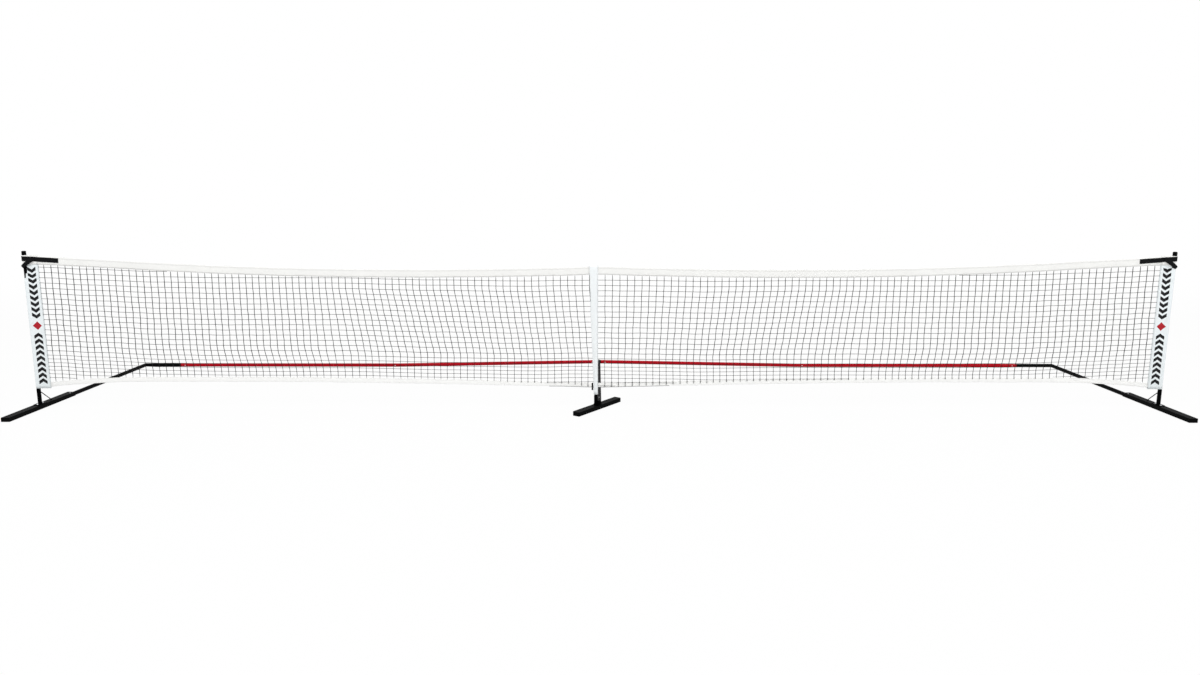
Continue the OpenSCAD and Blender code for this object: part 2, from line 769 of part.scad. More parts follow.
// Tee with a stem for the arm, and one spigot along the bar's slope for each inner bar.
module centre_tee() {
    stem_r = bar_r + tee_swell / 2;
    color(BLACK) difference() {
        union() {
            translate([0, rail_y + bar_r, tee_z]) rotate([90, 0, 0]) {
                cylinder(h = bar_r + tee_stem, r = stem_r);
                translate([0, 0, bar_r + tee_stem]) spigot(spigot_r, spigot_bore_r, spigot_length);
            }
            for (turn = [0, 180]) translate([0, rail_y, tee_z]) rotate([0, 0, turn])
                rotate([0, 90 + bar_slope, 0]) {
                    cylinder(h = tee_reach, r = bar_r);
                    translate([0, 0, tee_reach]) spigot(spigot_r, spigot_bore_r, spigot_length);
                }
        }
        for (side = [0, 1]) mirror([side, 0, 0])
            along_inner_bar(inner_length - tee_reach - button_inset) rotate([90, 0, 0]) button_hole();
    }
}

module centre_hub_button() {
    translate([0, hub_face + button_inset, tee_z]) snap_button(spigot_bore_r, bar_r);
}

// ---- Right-hand and left-hand pieces ----

module right_foot() { foot(); }
module right_foot_front_cap() { foot_front_cap(); }
module right_foot_rear_plug() { foot_rear_plug(); }
module right_base_plate() { base_plate(); }
module right_base_bolts() { base_bolts(); }
module right_socket() { socket(); }
module right_brace() { brace(); }
module right_post() { post(); }
module right_post_cap() { post_cap(); }
module right_arm() { arm(); }
module right_outer_bar() { outer_bar(); }
module right_inner_bar() { inner_bar(); }
module right_upper_strap() { upper_strap(); }
module right_lower_strap() { lower_strap(); }
module right_end_band() { end_band(right_wrap_drop); }
module right_top_tape() { top_tape(1); }
module right_bottom_band() { bottom_band(1); }
module right_net() { net(1); }
module right_foot_button() { foot_button(); }
module right_elbow_button() { elbow_button(); }
module right_joint_button() { joint_button(); }
module right_tee_button() { tee_button(); }

module left_foot() { on_left() foot(); }
module left_foot_front_cap() { on_left() foot_front_cap(); }
module left_foot_rear_plug() { on_left() foot_rear_plug(); }
module left_base_plate() { on_left() base_plate(); }
module left_base_bolts() { on_left() base_bolts(); }
module left_socket() { on_left() socket(); }
module left_brace() { on_left() brace(); }
module left_post() { on_left() post(); }
module left_post_cap() { on_left() post_cap(); }
module left_arm() { on_left() arm(); }
module left_outer_bar() { on_left() outer_bar(); }
module left_inner_bar() { on_left() inner_bar(); }
module left_upper_strap() { on_left() upper_strap(); }
module left_lower_strap() { on_left() lower_strap(); }
module left_end_band() { on_left() end_band(left_wrap_drop); }
module left_top_tape() { on_left() top_tape(-1); }
module left_bottom_band() { on_left() bottom_band(-1); }
module left_net() { on_left() net(-1); }
module left_foot_button() { on_left() foot_button(); }
module left_elbow_button() { on_left() elbow_button(); }
module left_joint_button() { on_left() joint_button(); }
module left_tee_button() { on_left() tee_button(); }

left_foot();
left_foot_front_cap();
left_foot_rear_plug();
left_base_plate();
left_base_bolts();
left_socket();
left_brace();
left_post();
left_post_cap();
left_arm();
left_outer_bar();
left_inner_bar();
left_upper_strap();
left_lower_strap();
left_end_band();
left_top_tape();
left_bottom_band();
left_net();
left_foot_button();
left_elbow_button();
left_joint_button();
left_tee_button();
right_foot();
right_foot_front_cap();
right_foot_rear_plug();
right_base_plate();
right_base_bolts();
right_socket();
right_brace();
right_post();
right_post_cap();
right_arm();
right_outer_bar();
right_inner_bar();
right_upper_strap();
right_lower_strap();
right_end_band();
right_top_tape();
right_bottom_band();
right_net();
right_foot_button();
right_elbow_button();
right_joint_button();
right_tee_button();
centre_foot();
centre_foot_front_cap();
centre_foot_rear_cap();
centre_pivot();
centre_hub();
centre_post();
centre_sleeve();
centre_tie();
centre_arm();
centre_tee();
centre_hub_button();
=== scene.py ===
"""Looks of a portable court net: tubes, cords, cloth, straps and the studio around them.

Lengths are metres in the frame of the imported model: +X runs along the net, +Y towards the cross
bars behind it and +Z up, with the origin on the floor midway between the end posts.
"""

import json
import logging
import math
from dataclasses import dataclass
from enum import Enum
from functools import cache
from typing import Callable, Sequence

import bpy
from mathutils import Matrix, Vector


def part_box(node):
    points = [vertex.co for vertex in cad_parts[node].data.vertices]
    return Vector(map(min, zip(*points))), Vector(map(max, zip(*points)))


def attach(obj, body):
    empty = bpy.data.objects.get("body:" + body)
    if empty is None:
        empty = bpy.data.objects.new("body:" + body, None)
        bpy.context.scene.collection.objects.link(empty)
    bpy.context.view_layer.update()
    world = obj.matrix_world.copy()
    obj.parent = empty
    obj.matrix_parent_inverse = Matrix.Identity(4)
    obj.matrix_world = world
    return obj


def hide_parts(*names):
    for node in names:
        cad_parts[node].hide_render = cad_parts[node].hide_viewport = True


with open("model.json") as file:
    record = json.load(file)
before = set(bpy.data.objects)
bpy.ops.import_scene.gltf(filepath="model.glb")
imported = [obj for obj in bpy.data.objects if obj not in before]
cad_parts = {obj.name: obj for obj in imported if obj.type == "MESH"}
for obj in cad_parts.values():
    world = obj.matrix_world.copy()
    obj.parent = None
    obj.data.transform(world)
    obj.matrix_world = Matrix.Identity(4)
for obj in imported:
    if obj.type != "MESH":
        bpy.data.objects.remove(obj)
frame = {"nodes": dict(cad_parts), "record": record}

LOG = logging.getLogger("court_net")
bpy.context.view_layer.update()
ROOT_BODY = "frame_and_net"
CLOTH_MAP = "cloth"
DEPTH_AXIS = Vector((0, 1, 0))

Point = tuple[float, float, float]
Color = tuple[float, float, float]
Pair = tuple[float, float]
Stations = tuple[tuple[float, ...], ...]
Piece = bpy.types.Object
Socket = bpy.types.NodeSocket


# ---------------------------------------------------------------- choices


class Side(Enum):
    """The two mirrored halves of the net."""

    LEFT = -1
    RIGHT = 1

    @property
    def label(self) -> str:
        """The word that starts the names of this half's pieces."""
        return self.name.lower()


class Slot(Enum):
    """The record's material slots."""

    BLACK_STEEL = "black_powder_coat"
    RED_STEEL = "red_powder_coat"
    PLASTIC = "black_plastic"
    ZINC = "zinc_steel"
    CLOTH = "white_cloth"
    WEBBING = "black_webbing"
    NET = "black_net"


# ---------------------------------------------------------------- small sums


WAVES = ((0.5, 1.0, 1.7, 0.0), (0.3, 1.93, 2.9, 0.6), (0.2, 3.71, 4.3, 2.1))
"""Height, pitch, weight of the seed and start of each sine wave in a waver."""


def wander(distance: float, seed: float, wavelength: float = 0.31) -> float:
    """A smooth, repeatable waver between about -1 and 1.

    Args:
        distance: Place along the piece.
        seed: Shifts the waver, so that neighbours differ.
        wavelength: Length of the longest wave.

    Returns:
        The waver at that place.
    """
    turn = math.tau * distance / wavelength
    return sum(high * math.sin(pitch * turn + mix * seed + start) for high, pitch, mix, start in WAVES)


def between(start: float, end: float, share: float) -> float:
    """The value a share of the way from start to end."""
    return start + (end - start) * share


def smooth(share: float) -> float:
    """An S-curve from 0 to 1."""
    held = min(1.0, max(0.0, share))
    return held * held * (3.0 - 2.0 * held)


def spread(start: float, end: float, count: int) -> list[float]:
    """Evenly spaced values from start to end, both included."""
    return [between(start, end, i / (count - 1)) for i in range(count)]


def along_stations(stations: Stations, share: float) -> tuple[float, ...]:
    """Reads values between stations that are joined by S-curves.

    Args:
        stations: Rows of values, each with its own share of the half span first.
        share: Where to read them.

    Returns:
        The values at that share.
    """
    for low, high in zip(stations, stations[1:]):
        if share <= high[0]:
            t = smooth((share - low[0]) / (high[0] - low[0]))
            return tuple(between(a, b, t) for a, b in zip(low[1:], high[1:]))
    return tuple(stations[-1][1:])


def arc(radius: float, start: float, end: float, count: int) -> list[Pair]:
    """Places outside a post's axis and depths on a circle round it, by angles from its face."""
    return [(radius * math.sin(a), radius * math.cos(a)) for a in spread(start, end, count)]


def both_faces(half: Sequence[Pair], nose: Sequence[Pair] = ()) -> list[Pair]:
    """Lays a line in front of the net, round a nose and back behind the net.

    Args:
        half: Places and depths of one face, from its free end.
        nose: Places and depths round the turn, from front to back.

    Returns:
        The whole line, with depths before the net's plane negative.
    """
    return [(place, -deep) for place, deep in [*half, *nose]] + list(reversed(half))


# ---------------------------------------------------------------- sizes


@dataclass(frozen=True)
class Layout:
    """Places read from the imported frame, and the curves of the net's edges."""

    half_span: float
    post_radius: float
    socket_radius: float
    plate_top: float
    cap_low: float
    band_low: float
    band_reach: float
    centre_x: float
    sleeve_low: float
    sleeve_high: float
    sleeve_edge: float
    sleeve_slant_top: float
    sleeve_foot: float = 0.024
    end_height: float = 0.914
    centre_height: float = 0.857
    sag: float = 0.042
    strap_hold: int = 6
    bottom_centre: float = 0.130
    bottom_middle: float = 0.163
    bottom_end: float = 0.123
    rise_ends: float = 0.65
    drop_starts: float = 0.8
    tape_height: float = 0.048
    band_height: float = 0.028
    waver: float = 0.0016

    @classmethod
    def from_frame(cls) -> "Layout":
        """Reads the places that the cloth and trim are fitted to."""
        post_low, post_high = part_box("right_post")
        socket_low, socket_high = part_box("right_socket")
        centre_low, centre_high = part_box("centre_post")
        sleeve_low, sleeve_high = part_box("centre_sleeve")
        band_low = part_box("right_end_band")[0]
        half_span = (post_low.x + post_high.x) / 2
        return cls(
            half_span=half_span,
            post_radius=(post_high.x - post_low.x) / 2,
            socket_radius=(socket_high.x - socket_low.x) / 2,
            plate_top=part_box("right_base_plate")[1].z,
            cap_low=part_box("right_post_cap")[0].z,
            band_low=band_low.z,
            band_reach=half_span - band_low.x,
            centre_x=(centre_low.x + centre_high.x) / 2,
            sleeve_low=sleeve_low.z,
            sleeve_high=sleeve_high.z,
            sleeve_edge=sleeve_high.x,
            sleeve_slant_top=sleeve_low.x,
        )

    def sleeve_slant(self, z: float) -> float:
        """Place of the sleeve's slanted left edge at height z."""
        share = (z - self.sleeve_low) / (self.centre_height - self.sleeve_low)
        return between(self.sleeve_edge - self.sleeve_foot, self.sleeve_slant_top, share)

    def inner_edge(self, side: Side, z: float) -> float:
        """Distance of the sleeve's edge from the middle on one side, at height z."""
        return self.sleeve_edge if side is Side.RIGHT else -self.sleeve_slant(z)

    def share(self, x: float) -> float:
        """Distance from the middle as a share of the half span."""
        return abs(x) / self.half_span

    def top(self, x: float) -> float:
        """Height of the tape's top edge: a sagging curve that the straps hold straight at its ends."""
        s = self.share(x)
        sag = 4 * self.sag * s * (1 - s) * (1 - s**self.strap_hold)
        return between(self.centre_height, self.end_height, s) - sag

    def bottom(self, x: float) -> float:
        """Height of the bottom band's lower edge: it rises from the middle and drops at the ends."""
        s = self.share(x)
        rising = math.sin(math.pi / 2 * min(1.0, s / self.rise_ends))
        dropping = max(0.0, (s - self.drop_starts) / (1 - self.drop_starts)) ** 2
        rise = (self.bottom_middle - self.bottom_centre) * rising
        return self.bottom_centre + rise - (self.bottom_middle - self.bottom_end) * dropping

    def tape_sway(self, side: Side, x: float) -> float:
        """How far the top tape sways out of the net's plane."""
        return self.waver * wander(x, 2.0 * side.value)

    def band_sway(self, side: Side, x: float) -> float:
        """How far the bottom band sways out of the net's plane."""
        return self.waver * wander(x, 4.0 + side.value, 0.5)


# ---------------------------------------------------------------- materials


class Shader:
    """Short ways to build a node tree."""

    def __init__(self, tree: bpy.types.NodeTree) -> None:
        """Starts on a tree."""
        self.tree = tree

    def node(self, kind: str, **settings: object) -> bpy.types.Node:
        """Adds a node and sets its properties.

        Args:
            kind: The node's type, without the words Shader and Node before it.
            **settings: Properties of the node.

        Returns:
            The new node.
        """
        made = self.tree.nodes.new(f"ShaderNode{kind}")
        for name, value in settings.items():
            setattr(made, name, value)
        return made

    def feed(self, socket: Socket, value: object) -> None:
        """Links a socket to another one, or gives it a plain value; a colour gets its alpha here."""
        if isinstance(value, Socket):
            self.tree.links.new(value, socket)
        else:
            socket.default_value = (*value, 1.0) if socket.type == "RGBA" else value

    def fill(self, node: bpy.types.Node, **values: object) -> bpy.types.Node:
        """Feeds a node's inputs.

        Args:
            node: The node.
            **values: Its inputs by name, with underscores for spaces.

        Returns:
            The same node.
        """
        for name, value in values.items():
            self.feed(node.inputs[name.replace("_", " ")], value)
        return node

    def math(self, operation: str, *values: object) -> Socket:
        """Adds a Math node.

        Args:
            operation: What it does.
            *values: Its inputs.

        Returns:
            Its output.
        """
        made = self.node("Math", operation=operation)
        for socket, value in zip(made.inputs, values):
            self.feed(socket, value)
        return made.outputs[0]

    def times(self, first: object, second: object) -> Socket:
        """The product of two values."""
        return self.math("MULTIPLY", first, second)

    def gap(self, first: object, second: object) -> Socket:
        """The distance between two values."""
        return self.math("ABSOLUTE", self.math("SUBTRACT", first, second))

    def object_place(self) -> Socket:
        """The point's own coordinates, in metres."""
        return self.node("TexCoord").outputs["Object"]

    def parts(self, place: Socket) -> bpy.types.NodeOutputs:
        """The X, Y and Z of a place."""
        return self.fill(self.node("SeparateXYZ"), Vector=place).outputs

    def noise(self, place: object, scale: float, detail: float = 3.0) -> Socket:
        """The value of a noise texture, from 0 to 1."""
        return self.fill(self.node("TexNoise"), Vector=place, Scale=scale, Detail=detail).outputs["Fac"]

    def ramp(self, value: object, low: float, high: float) -> Socket:
        """A 0 to 1 value spread over another range."""
        return self.fill(self.node("MapRange"), Value=value, To_Min=low, To_Max=high).outputs[0]

    def mix(self, share: object, first: object, second: object) -> Socket:
        """A mix of two colours."""
        made = self.node("Mix", data_type="RGBA")
        return self.fill(made, Factor=share, A=first, B=second).outputs["Result"]

    def bump(self, height: object, depth: float) -> Socket:
        """The surface's normal on a relief of that depth in metres, from a height of 0 to 1."""
        return self.fill(self.node("Bump"), Strength=1.0, Distance=depth, Height=height).outputs[0]


def tinted(color: Color, gain: float, lift: float = 0.0) -> Color:
    """A colour made lighter or darker."""
    return tuple(part * gain + lift for part in color)


@dataclass(frozen=True)
class Finish:
    """What covers a piece: a material with its name, its slot in the record and its main colour."""

    name: str
    slot: Slot
    color: Color

    def look(self, s: Shader) -> dict[str, object]:
        """The inputs of the material's surface, by name."""
        return {"Base_Color": self.color}

    @cache
    def build(self) -> bpy.types.Material:
        """Makes the material, once."""
        made = bpy.data.materials.new(self.name)
        made.use_nodes = True
        s = Shader(made.node_tree)
        s.fill(made.node_tree.nodes["Principled BSDF"], **self.look(s))
        return made


@dataclass(frozen=True)
class CoatedTube(Finish):
    """Paint baked on steel tube: a fine orange peel, soft streaks and a little dust."""

    worn: Color
    roughness: float
    specular: float

    def look(self, s: Shader) -> dict[str, object]:
        """The inputs of the material's surface, by name."""
        place = s.object_place()
        cloud = s.noise(place, 7.0, 4.0)
        speck = s.noise(place, 420.0, 2.0)
        dust = s.times(s.math("POWER", cloud, 3.0), s.ramp(speck, 0.4, 1.4))
        return {
            "Base_Color": s.mix(dust, self.color, self.worn),
            "Roughness": s.ramp(cloud, self.roughness - 0.06, self.roughness + 0.10),
            "Specular_IOR_Level": self.specular,
            "Normal": s.bump(s.noise(place, 900.0, 1.0), 0.00006),
        }


@dataclass(frozen=True)
class MouldedPlastic(Finish):
    """Black moulded plastic with a fine spark-eroded grain."""

    roughness: float

    def look(self, s: Shader) -> dict[str, object]:
        """The inputs of the material's surface, by name."""
        place = s.object_place()
        grain = s.noise(place, 1500.0, 2.0)
        cloud = s.noise(place, 18.0)
        return {
            "Base_Color": s.mix(s.ramp(cloud, 0.0, 0.6), self.color, tinted(self.color, 1.6, 0.001)),
            "Roughness": s.ramp(grain, self.roughness - 0.08, self.roughness + 0.10),
            "Specular_IOR_Level": 0.03,
            "Normal": s.bump(grain, 0.0001),
        }


@dataclass(frozen=True)
class PlatedSteel(Finish):
    """Zinc-plated steel with a faint brushed grain."""

    def look(self, s: Shader) -> dict[str, object]:
        """The inputs of the material's surface, by name."""
        stretch = s.fill(s.node("Mapping"), Vector=s.object_place(), Scale=(1.0, 1.0, 0.08))
        grain = s.noise(stretch.outputs[0], 1300.0, 2.0)
        cloud = s.noise(s.object_place(), 60.0, 2.0)
        return {
            "Base_Color": s.mix(cloud, self.color, tinted(self.color, 0.78)),
            "Metallic": 1.0,
            "Roughness": s.ramp(grain, 0.22, 0.42),
            "Normal": s.bump(grain, 0.00003),
        }


@dataclass(frozen=True)
class ClothFinish(Finish):
    """A finish that follows the cloth's own map."""

    def cloth_place(self, s: Shader) -> tuple[Socket, Socket]:
        """The point's place on its cloth, in metres across and along."""
        parts = s.parts(s.node("UVMap", uv_map=CLOTH_MAP).outputs[0])
        return parts[0], parts[1]


@dataclass(frozen=True)
class WovenCloth(ClothFinish):
    """Plain-woven cloth with soft shading and slubs, and lock stitching at places across it."""

    shade: Color
    stitch_rows: tuple[float, ...]
    thread: float = 0.0008
    stitch: float = 0.005
    stitch_gap: float = 0.28
    stitch_half: float = 0.0006
    stitch_color: Color = (0.62, 0.62, 0.60)

    def ridge(self, s: Shader, place: object) -> Socket:
        """Height of the threads that lie across one direction, from 0 to 1."""
        return s.math("ABSOLUTE", s.math("SINE", s.times(place, math.pi / self.thread)))

    def stitching(self, s: Shader, across: object, along: object) -> Socket:
        """Finds where the sewing thread lies.

        Args:
            s: The material's shader.
            across: Place across the cloth.
            along: Place along the cloth.

        Returns:
            1 on a stitch and 0 beside it.
        """
        dash = s.math("GREATER_THAN", s.math("FRACT", s.times(along, 1 / self.stitch)), self.stitch_gap)
        total: object = 0.0
        for row in self.stitch_rows:
            line = s.math("LESS_THAN", s.gap(across, row), self.stitch_half)
            total = s.math("MAXIMUM", total, s.times(line, dash))
        return total

    def printed(self, s: Shader, across: object, along: object, cloth: object) -> object:
        """The cloth's colour with its print, which plain cloth has none of."""
        return cloth

    def look(self, s: Shader) -> dict[str, object]:
        """The inputs of the material's surface, by name."""
        across, along = self.cloth_place(s)
        place = s.object_place()
        cloud = s.noise(place, 9.0, 4.0)
        slub = s.noise(place, 260.0, 2.0)
        weave = s.times(self.ridge(s, across), self.ridge(s, along))
        tone = s.times(s.math("SUBTRACT", 1.0, weave), s.ramp(slub, 0.25, 0.55))
        cloth = s.mix(s.math("ADD", tone, s.ramp(cloud, -0.18, 0.22)), self.color, self.shade)
        stitch = self.stitching(s, across, along)
        return {
            "Base_Color": s.mix(stitch, self.printed(s, across, along, cloth), self.stitch_color),
            "Roughness": 0.85,
            "Sheen_Weight": 0.10,
            "Sheen_Roughness": 0.5,
            "Specular_IOR_Level": 0.20,
            "Normal": s.bump(s.math("ADD", weave, s.times(stitch, 1.5)), self.thread * 0.16),
        }


@dataclass(frozen=True)
class PrintedCloth(WovenCloth):
    """White cloth with a plain printed row of chevrons that point to one lozenge.

    Attributes:
        middle: Distances across the cloth of the print's centre lines.
        start: Where this piece of cloth starts along the band.
        half_width: Half width of the print.
        pitch: Distance between two chevrons.
        ink_share: How much of the pitch a chevron fills.
        slope: How much a chevron's arms lag behind its point, per distance aside.
        chevrons: Chevrons on each side of the lozenge.
        lozenge_at: Place of the lozenge along the band.
        lozenge_half: Half height of the lozenge.
        clear: Distance from the lozenge's middle to the first chevron's point.
        ink: Colour of the chevrons.
        accent: Colour of the lozenge.
    """

    middle: tuple[float, ...] = (0.040,)
    start: float = 0.0
    half_width: float = 0.0235
    pitch: float = 0.0345
    ink_share: float = 0.60
    slope: float = 0.7
    chevrons: int = 9
    lozenge_at: float = 0.38
    lozenge_half: float = 0.026
    clear: float = 0.042
    ink: Color = (0.006, 0.006, 0.007)
    accent: Color = (0.42, 0.012, 0.022)

    def printed(self, s: Shader, across: object, along: object, cloth: object) -> object:
        """Prints the chevrons and the lozenge.

        Args:
            s: The material's shader.
            across: Place across the cloth.
            along: Place along the cloth.
            cloth: The cloth's colour.

        Returns:
            The printed cloth's colour.
        """
        off = s.gap(s.math("ADD", along, self.start), self.lozenge_at)
        for centre in self.middle:
            aside = s.gap(across, centre)
            slanted = s.math("SUBTRACT", off, s.times(aside, self.slope))
            number = s.math("DIVIDE", s.math("SUBTRACT", slanted, self.clear), self.pitch)
            mark = s.math("LESS_THAN", s.math("FRACT", number), self.ink_share)
            for test in (
                s.math("LESS_THAN", aside, self.half_width),
                s.math("GREATER_THAN", number, 0.0),
                s.math("LESS_THAN", number, self.chevrons - 0.1),
            ):
                mark = s.times(mark, test)
            cloth = s.mix(mark, cloth, self.ink)
            lozenge = s.math("LESS_THAN", s.math("ADD", aside, off), self.lozenge_half)
            cloth = s.mix(lozenge, cloth, self.accent)
        return cloth


@dataclass(frozen=True)
class Webbing(ClothFinish):
    """Black webbing with a ribbed weave and a faint sheen."""

    rib: float

    def look(self, s: Shader) -> dict[str, object]:
        """The inputs of the material's surface, by name."""
        across, along = self.cloth_place(s)
        turn = math.tau / self.rib
        ribs = s.math("SINE", s.times(along, turn))
        chevron = s.math("SINE", s.math("ADD", s.times(across, turn), ribs))
        height = s.times(s.math("ADD", ribs, chevron), 0.5)
        fuzz = s.times(s.ramp(height, 0.1, 0.6), s.noise(s.object_place(), 800.0, 2.0))
        return {
            "Base_Color": s.mix(fuzz, self.color, tinted(self.color, 2.2, 0.001)),
            "Roughness": 0.7,
            "Specular_IOR_Level": 0.07,
            "Sheen_Weight": 0.03,
            "Sheen_Roughness": 0.45,
            "Normal": s.bump(height, 0.0002),
        }


@dataclass(frozen=True)
class NetCord(Finish):
    """Braided cord with a fine twill along it."""

    def look(self, s: Shader) -> dict[str, object]:
        """The inputs of the material's surface, by name."""
        lay = s.node("TexWave", bands_direction="DIAGONAL")
        twill = s.fill(lay, Vector=s.object_place(), Scale=240.0, Distortion=1.5).outputs["Fac"]
        return {
            "Base_Color": s.mix(s.times(twill, 0.6), self.color, tinted(self.color, 1.8, 0.003)),
            "Roughness": 0.75,
            "Specular_IOR_Level": 0.15,
            "Normal": s.bump(twill, 0.0002),
        }


BLACK_COAT = CoatedTube(
    "black powder coat", Slot.BLACK_STEEL, (0.0007, 0.0008, 0.0010), (0.004, 0.004, 0.0045), 0.48, 0.02
)
RED_COAT = CoatedTube(
    "red gloss coat", Slot.RED_STEEL, (0.375, 0.004, 0.011), (0.40, 0.012, 0.020), 0.36, 0.03
)
PLASTIC = MouldedPlastic("black moulded plastic", Slot.PLASTIC, (0.0010, 0.0010, 0.0012), 0.50)
PLATED = PlatedSteel("zinc plated steel", Slot.ZINC, (0.66, 0.67, 0.69))
TAPE_CLOTH = WovenCloth(
    "white tape cloth", Slot.CLOTH, (0.92, 0.92, 0.90), (0.80, 0.80, 0.78),
    (0.004, 0.038, 0.0614, 0.0954), thread=0.0009,
)
SLEEVE_CLOTH = WovenCloth(
    "white sleeve cloth", Slot.CLOTH, (0.91, 0.94, 0.95), (0.80, 0.84, 0.85), (0.004, 0.052)
)
# The tape's white cloth made lighter: painted light that makes up for the shade on the low bottom band,
# which faces partly down.
HEM_CLOTH_PAINTED_LIGHT = WovenCloth(
    "white hem cloth", Slot.CLOTH, (0.96, 0.96, 0.945), (0.88, 0.88, 0.865), (0.004, 0.052)
)
BAND_WHITE = (0.86, 0.905, 0.92)
BAND_SHADE = (0.74, 0.80, 0.82)
EDGE_CORD = NetCord("grey edge cord", Slot.NET, (0.11, 0.11, 0.115))
NET_CORD = NetCord("black net cord", Slot.NET, (0.004, 0.004, 0.004))
BLACK_WEBBING = Webbing("black webbing", Slot.WEBBING, (0.003, 0.0033, 0.0038), 0.0016)


# ---------------------------------------------------------------- mesh tools


def select_only(piece: Piece) -> None:
    """Makes a piece the only selected and active object."""
    bpy.ops.object.select_all(action="DESELECT")
    piece.select_set(True)
    bpy.context.view_layer.objects.active = piece


def apply_modifier(piece: Piece, kind: str, **settings: object) -> None:
    """Adds a modifier with those settings and applies it.

    Args:
        piece: The object to change.
        kind: The modifier's type.
        **settings: Its properties.
    """
    select_only(piece)
    modifier = piece.modifiers.new(kind.title(), kind)
    for name, value in settings.items():
        setattr(modifier, name, value)
    bpy.ops.object.modifier_apply(modifier=modifier.name)


def primitive(name: str, shape: Callable, **settings: object) -> Piece:
    """Makes one of Blender's own shapes, with its place in its mesh.

    Args:
        name: Name of the piece.
        shape: The operator that adds the shape.
        **settings: Its sizes and place.

    Returns:
        The piece.
    """
    bpy.ops.object.select_all(action="DESELECT")
    shape(**settings)
    piece = bpy.context.active_object
    piece.name = name
    bpy.ops.object.transform_apply(location=True, rotation=True, scale=True)
    return piece


def add_object(name: str, data: bpy.types.ID) -> Piece:
    """Puts an object into the scene."""
    made = bpy.data.objects.new(name, data)
    bpy.context.scene.collection.objects.link(made)
    return made


def new_piece(name: str, points: Sequence[Point], faces: Sequence[Sequence[int]]) -> Piece:
    """Makes a smooth-shaded object.

    Args:
        name: Name of the piece.
        points: Its corners.
        faces: The corners of each face, by number.

    Returns:
        The piece.
    """
    mesh = bpy.data.meshes.new(name)
    mesh.from_pydata(points, [], faces)
    mesh.polygons.foreach_set("use_smooth", [True] * len(mesh.polygons))
    mesh.update()
    return add_object(name, mesh)


def running_length(points: Sequence[Point]) -> list[float]:
    """Distance along a line at each of its points."""
    total = [0.0]
    for first, second in zip(points, points[1:]):
        total.append(total[-1] + math.dist(first, second))
    return total


def cloth_sheet(
    name: str, rows: list[list[Point]], thick: float, closed: bool = False
) -> Piece:
    """Sews a sheet through rows of points and gives it the cloth's thickness.

    Args:
        name: Name of the piece.
        rows: Lines across the cloth, all with the same number of points.
        thick: Thickness of the cloth.
        closed: Whether each row runs round into its own start.

    Returns:
        The piece, with its UV map in metres: x across the cloth and y along it.
    """
    wide = len(rows[0])
    along = running_length([row[wide // 2] for row in rows])
    across = [running_length([*row, row[0]] if closed else row) for row in rows]
    faces = []
    places = []
    for i in range(len(rows) - 1):
        for j in range(wide if closed else wide - 1):
            for row, column in ((i, j), (i, j + 1), (i + 1, j + 1), (i + 1, j)):
                places.append((across[row][column], along[row]))
            k = (j + 1) % wide
            faces.append((i * wide + j, i * wide + k, (i + 1) * wide + k, (i + 1) * wide + j))
    piece = new_piece(name, [point for row in rows for point in row], faces)
    layer = piece.data.uv_layers.new(name=CLOTH_MAP)
    layer.data.foreach_set("uv", [value for place in places for value in place])
    apply_modifier(piece, "SOLIDIFY", thickness=thick, offset=0.0, use_even_offset=True)
    return piece


class Weave:
    """Cords that grow into one mesh."""

    def __init__(self) -> None:
        """Starts with no cord."""
        self.points: list[Point] = []
        self.faces: list[tuple[int, ...]] = []

    def cord(self, line: Sequence[Vector], radii: Sequence[float], sides: int) -> None:
        """Adds a cord that is closed at both ends.

        Args:
            line: Its centre line.
            radii: The radius at each point.
            sides: Corners of its section.
        """
        start, last = len(self.points), len(line) - 1
        for i, (centre, radius) in enumerate(zip(line, radii)):
            ahead = (line[min(i + 1, last)] - line[max(i - 1, 0)]).normalized()
            first = DEPTH_AXIS.cross(ahead).normalized()
            second = ahead.cross(first)
            for j in range(sides):
                turn = math.tau * (j + 0.5) / sides
                spoke = first * math.cos(turn) + second * math.sin(turn)
                self.points.append(tuple(centre + spoke * radius))
        for i in range(last):
            low, high = start + i * sides, start + (i + 1) * sides
            for j in range(sides):
                k = (j + 1) % sides
                self.faces.append((low + j, low + k, high + k, high + j))
        self.faces.append(tuple(start + j for j in reversed(range(sides))))
        self.faces.append(tuple(start + last * sides + j for j in range(sides)))

    def knot(self, centre: Vector, size: float) -> None:
        """Adds a small octahedron where two cords cross.

        Args:
            centre: Middle of the crossing.
            size: Half width of the octahedron.
        """
        start = len(self.points)
        for axis in ((1, 0, 0), (0, 0.8, 0), (-1, 0, 0), (0, -0.8, 0), (0, 0, 1), (0, 0, -1)):
            self.points.append(tuple(centre + Vector(axis) * size))
        for j in range(4):
            k = (j + 1) % 4
            self.faces += [(start + j, start + k, start + 4), (start + k, start + j, start + 5)]

    def mirror(self) -> None:
        """Turns the cords to the other side of the middle, with their faces still outwards."""
        self.faces = [tuple(reversed(face)) for face in self.faces]
        self.points = [(-x, y, z) for x, y, z in self.points]


def settle(piece: Piece, finish: Finish, *replaced: str) -> None:
    """Gives a piece its finish and its place in the object.

    Args:
        piece: The new piece.
        finish: Its finish.
        *replaced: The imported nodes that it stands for.
    """
    piece.data.materials.clear()
    piece.data.materials.append(finish.build())
    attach(piece, ROOT_BODY)
    if replaced:
        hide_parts(*replaced)
    LOG.info("%s: %d faces", piece.name, len(piece.data.polygons))


def settle_sheet(piece: Piece, finish: Finish, cut: Pair, on: str, *replaced: str) -> None:
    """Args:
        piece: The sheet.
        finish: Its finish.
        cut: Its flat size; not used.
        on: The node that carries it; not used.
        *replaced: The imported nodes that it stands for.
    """
    settle(piece, finish, *replaced)


# ---------------------------------------------------------------- the net


